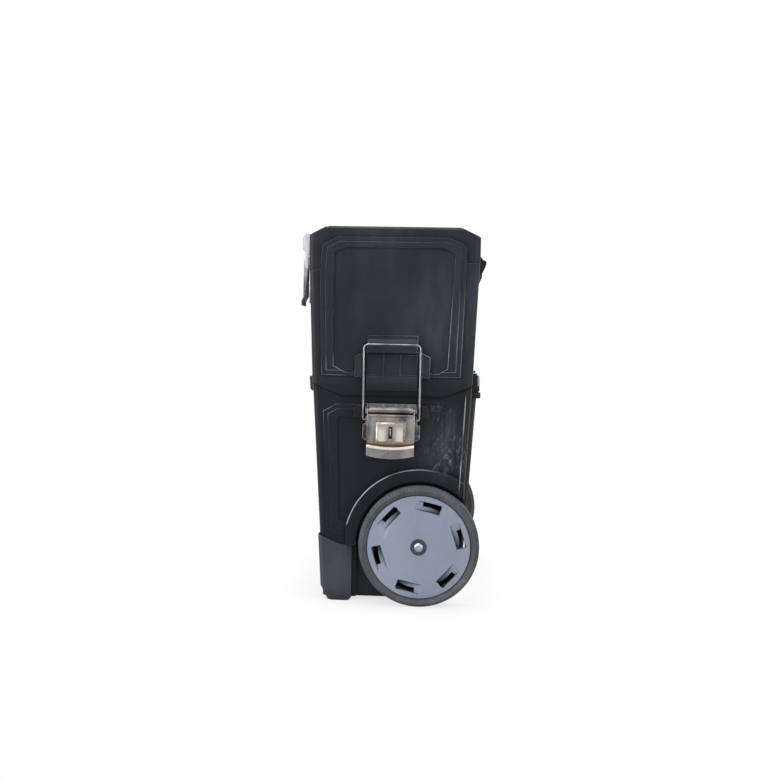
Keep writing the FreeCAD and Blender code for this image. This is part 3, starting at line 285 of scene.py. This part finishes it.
def near_place(tree, centre, reach, fade=0.7):
    """1 close to a place, fading to 0 at its reach."""
    away = node(tree, "ShaderNodeVectorMath")
    away.operation = "DISTANCE"
    set_input(tree, away.inputs[0], place_at_rest(tree))
    set_input(tree, away.inputs[1], centre)
    return step_node(tree, away.outputs["Value"], reach, reach * (1 - fade))


def noise(tree, scale, detail, roughness, stretch=(1, 1, 1), seed=0.0):
    """Cloudy noise with about scale lumps in a metre. The seed takes it from another place."""
    shift = (seed, seed * 0.7, seed * 1.3)
    place = node(tree, "ShaderNodeMapping", Vector=place_at_rest(tree), Scale=stretch, Location=shift)
    made = node(tree, "ShaderNodeTexNoise", Scale=scale, Detail=detail, Roughness=roughness)
    tree.links.new(place.outputs["Vector"], made.inputs["Vector"])
    return made.outputs["Fac"]


def openness(tree, reach, samples):
    """1 in the open, less in hollows and corners narrower than the reach."""
    made = node(tree, "ShaderNodeAmbientOcclusion", Distance=reach)
    made.samples = samples
    return made.outputs["AO"]


def rounded_normal(tree, radius):
    """The surface's normal, as if its edges were rounded."""
    made = node(tree, "ShaderNodeBevel", Radius=radius)
    made.samples = EDGE_SAMPLES
    return made.outputs["Normal"]


def edge_mask(tree, rounded):
    """Where the rounded normal leaves the flat one: near 1 on edges, 0 on flat faces."""
    flat = node(tree, "ShaderNodeNewGeometry").outputs["Normal"]
    dot = node(tree, "ShaderNodeVectorMath")
    dot.operation = "DOT_PRODUCT"
    tree.links.new(rounded, dot.inputs[0])
    tree.links.new(flat, dot.inputs[1])
    turned = math_node(tree, "SUBTRACT", 1.0, dot.outputs["Value"], clamp=True)
    return grey_ramp(tree, turned, *EDGE_TURNS)


def bumped(tree, height, strength, distance, normal):
    """A normal that follows a height as well."""
    made = node(tree, "ShaderNodeBump", Strength=strength, Distance=distance, Height=height, Normal=normal)
    return made.outputs["Normal"]


def start_material(name):
    """A new material, its node tree and its shader."""
    material = bpy.data.materials.new(name)
    material.use_nodes = True
    tree = material.node_tree
    return material, tree, tree.nodes["Principled BSDF"]


def finish_surface(tree, shader, colour, roughness, normal, **settings):
    """Set what every shader here has, and the settings that only some have."""
    set_input(tree, shader.inputs["Base Color"], colour)
    set_input(tree, shader.inputs["Roughness"], roughness)
    set_input(tree, shader.inputs["Normal"], normal)
    for name, value in settings.items():
        set_input(tree, shader.inputs[name.replace("_", " ")], value)


def source_of(material, name):
    """The socket that feeds one of the shader's inputs."""
    return material.node_tree.nodes["Principled BSDF"].inputs[name].links[0].from_socket


def feed(material, name, source):
    """Link another socket to one of the shader's inputs."""
    tree = material.node_tree
    tree.links.new(source, tree.nodes["Principled BSDF"].inputs[name])


# ---- plastic and rubber ----

bin_low, bin_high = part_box("lower_bin")
MIDDLE = (bin_low[1] + bin_high[1]) / 2  # the middle of the bin, front to back
SIDE_X = (0.195, 0.205)  # across these, a surface becomes part of the left or right side
BIN_TOP_Z = (0.372, 0.36)  # across these, the upper box gives way to the bin

FLARE_RIM = 0.1254  # the radius of the wheel flare's rim
FLARE_X = (0.2165, 0.2195)  # across these, the flare's outer face begins
FLARE_START = (1.2, 1.9)  # the painted highlight line grows over these angles about the axle, in radians
FLARE_END = (2.92, 2.84)  # and it ends over these

CORNER_Y = MIDDLE + 0.1063  # the bin's rear corner line, where Z is 0
CORNER_LEAN = 0.0482  # how far it goes back for each metre up
CORNER_Z = 0.268  # the middle of its painted highlight

# Each mark: its centre, how far it reaches, and how strong it is.
HAZES = [
    (Vector((0.222, MIDDLE + 0.09, 0.48)), 0.13, 0.27),
    (Vector((0.216, MIDDLE + 0.09, 0.27)), 0.08, 0.45),
    (Vector((0.223, MIDDLE - 0.02, 0.62)), 0.1, 0.18),
]
# Painted highlights on edges near these places, where the edges catch the light.
EDGE_HIGHLIGHTS = [
    (Vector((0.222, MIDDLE + 0.092, 0.43)), 0.085, 0.85),
    (Vector((0.222, MIDDLE - 0.096, 0.39)), 0.03, 0.8),
    (Vector((0.222, MIDDLE + 0.118, 0.5)), 0.03, 0.4),
    (Vector((0.214, MIDDLE - 0.12, 0.33)), 0.04, 0.6),
]
SCUFFS = [
    (Vector((0.214, MIDDLE + 0.096, 0.25)), 0.05, 0.7),
    (Vector((0.217, MIDDLE + 0.083, 0.318)), 0.028, 0.4),
]
SCUFF_LEAN = math.radians(24)

HUB_RUB_RADIUS = 0.058
HUB_RUB_ANGLE = 2.72
TREAD_BLOCKS = 96
TREAD_RADII = (0.0935, 0.0955)  # across these, the tread begins


def moulded_plastic(
    name, dark, pale, wear_and_highlight, roughness=(0.36, 0.5), grain=650.0, wear_and_highlight_amount=0.5, edge=0.0014, shine_level=0.25
):
    """Injection-moulded plastic: cloudy tone, fine grain, flow streaks, painted shade in its hollows, and
    edges painted paler, partly rubbed by use and partly as a painted highlight.
    """
    material, tree, shader = start_material(name)
    cloud = noise(tree, 7.0, detail=5.0, roughness=0.6)
    streaks = noise(tree, 24.0, detail=3.0, roughness=0.5, stretch=(1, 1, 0.1), seed=3.0)
    tone = math_node(tree, "MULTIPLY_ADD", streaks, 0.4, product(tree, cloud, 0.6))
    clean = ramp(tree, tone, [(0.38, dark), (0.62, pale)])
    # painted shade: hollows and corners darken towards a dark copy of the colour, where shade falls
    crevice_shade = tuple(part * 0.35 for part in dark)
    body = mix(tree, step_node(tree, openness(tree, 0.03, samples=6), 0.45, 0.95), crevice_shade, clean)
    rounded = rounded_normal(tree, edge)
    patchy = step_node(tree, noise(tree, 38.0, detail=4.0, roughness=0.65, seed=9.0), 0.4, 0.62)
    patchy = between(tree, patchy, (0.25, 1.0))
    # edges painted paler: partly rubbed by use, partly a painted highlight where rounded edges catch the
    # light
    colour = paint(tree, body, wear_and_highlight, edge_mask(tree, rounded), patchy, wear_and_highlight_amount)
    shine = step_node(tree, noise(tree, 22.0, detail=5.0, roughness=0.6, seed=5.0), 0.3, 0.7)
    fine = noise(tree, grain, detail=2.0, roughness=0.5)
    normal = bumped(tree, fine, strength=0.12, distance=0.0004, normal=rounded)
    rough = between(tree, shine, roughness)
    finish_surface(tree, shader, colour, rough, normal, Specular_IOR_Level=shine_level)
    return material


def bin_sides(tree):
    """The left and right sides of the lower bin."""
    where = axes(tree)
    sides = step_node(tree, math_node(tree, "ABSOLUTE", where["X"]), *SIDE_X)
    return product(tree, sides, step_node(tree, where["Z"], *BIN_TOP_Z))


def flare_highlight(tree):
    """A painted highlight line along the wheel flare's rim, from the top to the front."""
    radius, angle = from_axle(tree)
    rim = band(tree, radius, FLARE_RIM, half=0.0007, soft=0.0007)
    outer = step_node(tree, math_node(tree, "ABSOLUTE", axes(tree)["X"]), *FLARE_X)
    start, end = step_node(tree, angle, *FLARE_START), step_node(tree, angle, *FLARE_END)
    return product(tree, rim, outer, start, end)


def corner_highlight(tree):
    """A painted highlight along the line where the bin's side turns to its rear."""
    where = axes(tree)
    lean = math_node(tree, "MULTIPLY_ADD", where["Z"], CORNER_LEAN, CORNER_Y)
    corner = band(tree, math_node(tree, "SUBTRACT", where["Y"], lean), 0.0, half=0.0005, soft=0.0006)
    return product(tree, corner, band(tree, where["Z"], CORNER_Z, half=0.066, soft=0.02))


def scuff_strokes(tree):
    """Fine strokes that lean to the rear, in clumps."""
    leaned = node(tree, "ShaderNodeMapping", Vector=place_at_rest(tree), Rotation=(SCUFF_LEAN, 0, 0))
    drawn = node(tree, "ShaderNodeMapping", Vector=leaned.outputs["Vector"], Scale=(1, 1, 0.16))
    strokes = node(tree, "ShaderNodeTexNoise", Scale=330.0, Detail=4.0, Roughness=0.7)
    tree.links.new(drawn.outputs["Vector"], strokes.inputs["Vector"])
    clumps = step_node(tree, noise(tree, 80.0, detail=3.0, roughness=0.6, seed=2.0), 0.42, 0.62)
    return product(tree, step_node(tree, strokes.outputs["Fac"], 0.48, 0.66), clumps)


def scuffed_box_plastic():
    """The boxes' plastic: darker on the bin's sides as painted shade, with hazes, painted highlight lines
    and edges, and scuffs.
    """
    material = moulded_plastic(
        "box_plastic",
        dark=(0.0070, 0.0088, 0.0125),
        pale=(0.0175, 0.0207, 0.0295),
        wear_and_highlight=(0.19, 0.205, 0.23),
        shine_level=0.17,
    )
    tree = material.node_tree
    # painted shade: the lower bin's sides are darkened, as if the lower part stood in shadow
    colour = paint(tree, source_of(material, "Base Color"), (0.0018, 0.0026, 0.0046), bin_sides(tree), 0.6)
    streaks = noise(tree, 34.0, detail=4.0, roughness=0.6, stretch=(1, 1, 0.3), seed=7.0)
    streaks = step_node(tree, streaks, 0.25, 0.75)
    for centre, reach, amount in HAZES:
        near = near_place(tree, centre, reach, fade=0.9)
        colour = paint(tree, colour, (0.085, 0.095, 0.115), streaks, near, amount)
    uneven = step_node(tree, noise(tree, 16.0, detail=2.0, roughness=0.5, seed=1.0), 0.3, 0.55)
    # painted highlight: a pale line along the flare's rim, where its rounded edge catches the light
    colour = paint(tree, colour, (0.42, 0.44, 0.47), flare_highlight(tree), uneven, 0.8)
    # painted highlight: a pale line on the rounded rear corner, where it catches the light
    colour = paint(tree, colour, (0.36, 0.38, 0.41), corner_highlight(tree), uneven, 0.7)
    edges = edge_mask(tree, rounded_normal(tree, 0.0016))
    # painted highlight: edges near these places are painted pale
    for centre, reach, amount in EDGE_HIGHLIGHTS:
        near = near_place(tree, centre, reach)
        colour = paint(tree, colour, (0.4, 0.43, 0.47), edges, near, amount)
    strokes = scuff_strokes(tree)
    for centre, reach, amount in SCUFFS:
        near = near_place(tree, centre, reach)
        colour = paint(tree, colour, (0.21, 0.25, 0.34), near, strokes, amount)
    feed(material, "Base Color", colour)
    return material


def hub_plastic():
    """Grey hub plastic, with painted shade in its recesses, and one long faint rub."""
    material = moulded_plastic(
        "hub_plastic",
        dark=(0.189, 0.215, 0.279),
        pale=(0.231, 0.257, 0.328),
        wear_and_highlight=(0.4, 0.43, 0.5),
        roughness=(0.42, 0.55),
        grain=500.0,
        wear_and_highlight_amount=0.15,
        edge=0.001,
    )
    tree = material.node_tree
    # painted shade: recesses are darkened, where shade falls
    recess_shade = step_node(tree, openness(tree, 0.02, samples=8), 0.98, 0.5)
    colour = paint(tree, source_of(material, "Base Color"), (0.045, 0.06, 0.08), recess_shade, 0.85)
    radius, angle = from_axle(tree)
    ring = band(tree, radius, HUB_RUB_RADIUS, half=0.0012, soft=0.0015)
    stretch = band(tree, angle, HUB_RUB_ANGLE, half=0.16, soft=0.1)
    colour = paint(tree, colour, (0.33, 0.37, 0.43), ring, stretch, 0.45)
    feed(material, "Base Color", colour)
    return material


def tyre_rubber():
    """Matt rubber with patches of dust, rubbed edges, a fine grain and small tread blocks."""
    material, tree, shader = start_material("tyre_rubber")
    dust = step_node(tree, noise(tree, 30.0, detail=6.0, roughness=0.65), 0.35, 0.75)
    body = mix(tree, dust, (0.06, 0.064, 0.07), (0.105, 0.11, 0.12))
    radius, angle = from_axle(tree)
    blocks = step_node(tree, math_node(tree, "SINE", product(tree, angle, TREAD_BLOCKS)), -0.3, 0.3)
    tread = product(tree, blocks, step_node(tree, radius, *TREAD_RADII))
    rounded = rounded_normal(tree, 0.0015)
    colour = paint(tree, body, (0.2, 0.2, 0.21), edge_mask(tree, rounded), 0.4)
    colour = paint(tree, colour, (0.035, 0.036, 0.04), tread, 0.3)
    grain = noise(tree, 420.0, detail=3.0, roughness=0.6)
    normal = bumped(tree, grain, strength=0.35, distance=0.0006, normal=rounded)
    normal = bumped(tree, tread, strength=0.5, distance=0.0006, normal=normal)
    rough = between(tree, dust, (0.66, 0.84))
    finish_surface(tree, shader, colour, rough, normal, Specular_IOR_Level=0.15)
    return material


# ---- metal ----

LATCH_Y = joints["side_bail_right_swing"]["pos_m"][1]
PANEL_Z = 0.2865  # the middle of the pressed panel on the side latch's lever
PANEL_HALF_HEIGHT = 0.0135
ROLL_Z = 0.326  # the middle of the roll at the lever's top
LIP_CURVE = 2.6  # how far the lip's lines rise to the sides, in metres for each metre squared
LIP_SHADE_Z = 0.2645  # the painted brown line of shade above the thumb lip, at its middle
LIP_HIGHLIGHT_Z = 0.2605  # the painted highlight line below that
LIP_Z = (0.2597, 0.2582)  # across these, the lip itself begins
BOW_UP = 1.3  # how far the lever's sheet bows, in metres for each metre squared
BOW_ACROSS = 1.0


def plated_metal(
    name, bright, dull, roughness=(0.12, 0.26), tarnish_and_highlight=(0.5, 0.37, 0.27), tarnish_and_highlight_amount=0.35, metal=1.0
):
    """Plating with a cloudy polish and drawn scratches, tarnished in patches and on its edges; where that
    tint is pale, it is a painted highlight on the edges.
    """
    material, tree, shader = start_material(name)
    rounded = rounded_normal(tree, 0.0014)
    cloud = noise(tree, 32.0, detail=4.0, roughness=0.6, stretch=(1, 1, 0.4))
    body = mix(tree, step_node(tree, cloud, 0.35, 0.65), bright, dull)
    patches = step_node(tree, noise(tree, 70.0, detail=5.0, roughness=0.7, seed=4.0), 0.5, 0.75)
    # tinted in patches and on edges: a tarnished colour, and with a pale tint a painted highlight
    tarnish_and_highlight_mask = math_node(tree, "MAXIMUM", product(tree, patches, 0.5), edge_mask(tree, rounded))
    colour = paint(tree, body, tarnish_and_highlight, tarnish_and_highlight_mask, tarnish_and_highlight_amount)
    scratches = noise(tree, 240.0, detail=2.0, roughness=0.5, stretch=(1, 1, 0.08), seed=6.0)
    normal = bumped(tree, scratches, strength=0.05, distance=0.0002, normal=rounded)
    rough = between(tree, cloud, roughness)
    finish_surface(tree, shader, colour, rough, normal, Metallic=metal)
    return material


def panel_mask(tree, half_width, half_height, soft):
    """An upright rectangle round the middle of the side latch lever's panel."""
    where = axes(tree)
    across = band(tree, where["Y"], LATCH_Y, half_width, soft)
    return product(tree, across, band(tree, where["Z"], PANEL_Z, half_height, soft))


def painted_panel(tree, body):
    """The bright panel, brown in its upper half and at its border, with painted shade round its slot."""
    where = axes(tree)
    inside = panel_mask(tree, 0.0195, PANEL_HALF_HEIGHT, soft=0.002)
    around = panel_mask(tree, 0.0255, 0.0185, soft=0.001)
    border = product(tree, around, opposite(tree, inside))
    beside_slot = band(tree, where["Y"], LATCH_Y, half=0.004, soft=0.009)
    inside = product(tree, inside, opposite(tree, product(tree, beside_slot, 0.85)))
    upper = step_node(tree, where["Z"], PANEL_Z, PANEL_Z + PANEL_HALF_HEIGHT)
    # painted shade: a near-black patch over the slot, for the shade inside the hole
    slot_shade = panel_mask(tree, 0.0031, 0.0097, soft=0.0005)
    body = paint(tree, body, (0.74, 0.7, 0.63), inside, 0.85)
    body = paint(tree, body, (0.26, 0.2, 0.15), inside, upper, 0.7)
    body = paint(tree, body, (0.24, 0.18, 0.14), border, 0.7)
    return paint(tree, body, (0.012, 0.011, 0.01), slot_shade, 0.9)


def painted_lip(tree, body, side_square):
    """A painted brown line of shade and a painted highlight line that curve along the thumb lip, and the
    greyer lip below.
    """
    height = math_node(tree, "MULTIPLY_ADD", side_square, -LIP_CURVE, axes(tree)["Z"])
    # painted shade and painted highlight: a dark line and a bright line along the lip's bend, as light
    # falls on it
    brown = band(tree, height, LIP_SHADE_Z, half=0.0012, soft=0.0015)
    pale = band(tree, height, LIP_HIGHLIGHT_Z, half=0.0012, soft=0.0015)
    body = paint(tree, body, (0.1, 0.055, 0.03), brown, 0.9)
    body = paint(tree, body, (0.95, 0.86, 0.76), pale, 0.8)
    return paint(tree, body, (0.3, 0.3, 0.31), step_node(tree, height, *LIP_Z), 0.5)


def pressed_lever_plate():
    """The side latch lever's plating, on a pressed sheet that bows up and down, and across."""
    material = plated_metal("lever_chrome", (0.3, 0.29, 0.28), (0.045, 0.045, 0.05), tarnish_and_highlight_amount=0.5)
    tree = material.node_tree
    where = axes(tree)
    up = math_node(tree, "SUBTRACT", where["Z"], PANEL_Z)
    side = math_node(tree, "SUBTRACT", where["Y"], LATCH_Y)
    side_square = product(tree, side, side)
    body = painted_panel(tree, source_of(material, "Base Color"))
    roll = band(tree, where["Z"], ROLL_Z, half=0.011, soft=0.003)
    body = paint(tree, body, (0.11, 0.095, 0.085), roll, 0.75)
    feed(material, "Base Color", painted_lip(tree, body, side_square))
    ripple = noise(tree, 26.0, detail=2.0, roughness=0.5, seed=12.0)
    height = product(tree, up, up, -BOW_UP)
    height = math_node(tree, "MULTIPLY_ADD", side_square, -BOW_ACROSS, height)
    height = math_node(tree, "MULTIPLY_ADD", ripple, 0.0012, height)
    bowed = bumped(tree, height, strength=1.0, distance=1.0, normal=source_of(material, "Normal"))
    feed(material, "Normal", bowed)
    return material


def black_tube():
    """Black anodised tube with a drawn grain along its length."""
    material, tree, shader = start_material("black_tube")
    rounded = rounded_normal(tree, 0.0008)
    grain = noise(tree, 300.0, detail=3.0, roughness=0.6, stretch=(1, 1, 0.02))
    body = mix(tree, grey_ramp(tree, grain, 0.3, 0.7), (0.018, 0.018, 0.02), (0.035, 0.035, 0.038))
    colour = paint(tree, body, (0.3, 0.3, 0.31), edge_mask(tree, rounded), 0.4)
    normal = bumped(tree, grain, strength=0.1, distance=0.0002, normal=rounded)
    finish_surface(tree, shader, colour, 0.33, normal, Metallic=0.6)
    return material


def dress(material, *names):
    """Give CAD nodes their material: a node of that name, or the left and right ones."""
    for start in names:
        found = [name for name in (start, start + "_left", start + "_right") if name in nodes]
        if not found:
            raise ValueError(f"no node is called {start}")
        for name in found:
            mesh = nodes[name].data
            mesh.materials.clear()
            mesh.materials.append(material)


# ---- smooth wire bails ----

BAIL_HALF_WIDTH = 0.0466
BAIL_REACH = 0.124
BAIL_TIP = 0.0363  # how far from the middle the wire's ends are, inside the lever's flanges
BAIL_RADIUS = 0.00165
BAIL_LEAN = math.radians(1.617)
FOOT_BEND = 0.0026
HEAD_BEND = 0.0075


def rounded_path(corners, radii, steps=6):
    """A flat path through corners, each turned with a radius."""
    path = [Vector(corners[0])]
    for before, corner, after, radius in zip(corners, corners[1:], corners[2:], radii):
        corner = Vector(corner)
        back = (Vector(before) - corner).normalized()
        ahead = (Vector(after) - corner).normalized()
        half = back.angle(ahead) / 2
        reach = radius / math.tan(half)
        middle = corner + (back + ahead).normalized() * (radius / math.sin(half))
        start = (corner + back * reach - middle).normalized()
        end = (corner + ahead * reach - middle).normalized()
        for i in range(steps + 1):
            path.append(middle + start.slerp(end, i / steps) * radius)
    path.append(Vector(corners[-1]))
    return path


def wire_mesh(name, path, radius, sides=14):
    """A round wire along a path that lies in one plane X = constant, closed at both ends."""
    outward = Vector((1, 0, 0))
    points, faces = [], []
    for i, centre in enumerate(path):
        along = (path[min(i + 1, len(path) - 1)] - path[max(i - 1, 0)]).normalized()
        across = along.cross(outward)
        for k in range(sides):
            turn = 2 * math.pi * k / sides
            points.append(centre + (outward * math.cos(turn) + across * math.sin(turn)) * radius)
    for i in range(len(path) - 1):
        for k in range(sides):
            low, next_low = i * sides + k, i * sides + (k + 1) % sides
            faces.append((low, next_low, next_low + sides, low + sides))
    last = (len(path) - 1) * sides
    faces.append(tuple(range(sides))[::-1])
    faces.append(tuple(range(last, last + sides)))
    mesh = bpy.data.meshes.new(name)
    mesh.from_pydata(points, [], faces)
    for face in mesh.polygons:
        face.use_smooth = len(face.vertices) == 4
    return mesh


def smooth_bails(material):
    """Round wire in place of each side latch's faceted bail."""
    half, tip, reach = BAIL_HALF_WIDTH, BAIL_TIP, BAIL_REACH
    corners = [(0, tip, 0), (0, half, 0), (0, half, reach), (0, -half, reach), (0, -half, 0), (0, -tip, 0)]
    path = rounded_path(corners, (FOOT_BEND, HEAD_BEND, HEAD_BEND, FOOT_BEND))
    lean = Matrix.Rotation(BAIL_LEAN, 4, "Y")
    for word, turn in (("right", 0), ("left", math.pi)):
        mesh = wire_mesh(f"bail_wire_{word}", path, BAIL_RADIUS)
        place = Matrix.Translation(joints[f"side_bail_{word}_swing"]["pos_m"])
        mesh.transform(place @ Matrix.Rotation(turn, 4, "Z") @ lean)
        mesh.update()
        mesh.materials.append(material)
        wire = bpy.data.objects.new(f"bail_wire_{word}", mesh)
        bpy.context.scene.collection.objects.link(wire)
        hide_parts(f"side_latch_bail_{word}")
        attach(wire, f"side_bail_{word}")


# ---- make everything ----

plain_view()
make_camera()
make_lights()
make_world()
make_floor()

foot_plastic = moulded_plastic(
    "foot_plastic", dark=(0.027, 0.029, 0.035), pale=(0.042, 0.046, 0.055), wear_and_highlight=(0.2, 0.2, 0.22), wear_and_highlight_amount=0.6
)
trim_plastic = moulded_plastic(
    "trim_plastic", dark=(0.009, 0.009, 0.010), pale=(0.016, 0.016, 0.018), wear_and_highlight=(0.12, 0.12, 0.12)
)
rail_plastic = moulded_plastic(
    "rail_plastic", dark=(0.03, 0.031, 0.033), pale=(0.075, 0.077, 0.08), wear_and_highlight=(0.6, 0.6, 0.6), wear_and_highlight_amount=0.7
)
pale_trim = moulded_plastic(
    "pale_trim", dark=(0.52, 0.53, 0.55), pale=(0.6, 0.61, 0.63), wear_and_highlight=(0.75, 0.75, 0.76), wear_and_highlight_amount=0.3
)
chrome = plated_metal("latch_chrome", (0.5, 0.5, 0.51), (0.18, 0.18, 0.19), tarnish_and_highlight_amount=0.5)
claw_chrome = plated_metal(
    "claw_chrome",
    bright=(0.62, 0.62, 0.63),
    dull=(0.36, 0.36, 0.38),
    roughness=(0.3, 0.45),
    tarnish_and_highlight=(0.08, 0.08, 0.085),
    tarnish_and_highlight_amount=0.7,
    metal=0.7,
)
# its pale edge tint is a painted highlight, where the flanges' edges catch the light
base_chrome = plated_metal(
    "base_chrome",
    bright=(0.18, 0.17, 0.165),
    dull=(0.045, 0.045, 0.048),
    roughness=(0.25, 0.4),
    tarnish_and_highlight=(0.75, 0.72, 0.68),
    tarnish_and_highlight_amount=0.6,
)
lever_plate = plated_metal(
    "front_lever_chrome",
    bright=(0.5, 0.5, 0.51),
    dull=(0.14, 0.14, 0.15),
    roughness=(0.3, 0.45),
    tarnish_and_highlight=(0.06, 0.06, 0.065),
    tarnish_and_highlight_amount=0.85,
    metal=0.7,
)
wire_chrome = plated_metal("wire_chrome", (0.3, 0.3, 0.31), (0.14, 0.14, 0.15), roughness=(0.22, 0.36))
steel = plated_metal("shaft_steel", (0.6, 0.6, 0.62), (0.45, 0.45, 0.46), roughness=(0.25, 0.4))
cap_metal = plated_metal(
    "cap_metal",
    bright=(0.36, 0.39, 0.44),
    dull=(0.24, 0.27, 0.32),
    roughness=(0.3, 0.45),
    tarnish_and_highlight=(0.3, 0.31, 0.34),
)

dress(scuffed_box_plastic(), "lower_bin", "upper_box", "lid", "box_hinge", "lid_hinge")
dress(rail_plastic, "front_grab_rail")
dress(trim_plastic, "handle_grip", "release_button", "handle_collar", "handle_shoe", "carry_handle")
dress(foot_plastic, "front_foot")
dress(pale_trim, "grip_insert")
dress(hub_plastic(), "wheel_hub")
dress(tyre_rubber(), "tyre")
dress(black_tube(), "handle_outer_tube", "handle_middle_tube", "handle_inner_tube")
dress(pressed_lever_plate(), "side_latch_lever")
dress(wire_chrome, "side_latch_bail")
dress(base_chrome, "side_latch_base")
dress(chrome, "front_latch_base")
dress(lever_plate, "front_latch_lever")
dress(claw_chrome, "front_latch_claw")
dress(cap_metal, "axle_cap")
dress(steel, "axle")
smooth_bails(wire_chrome)
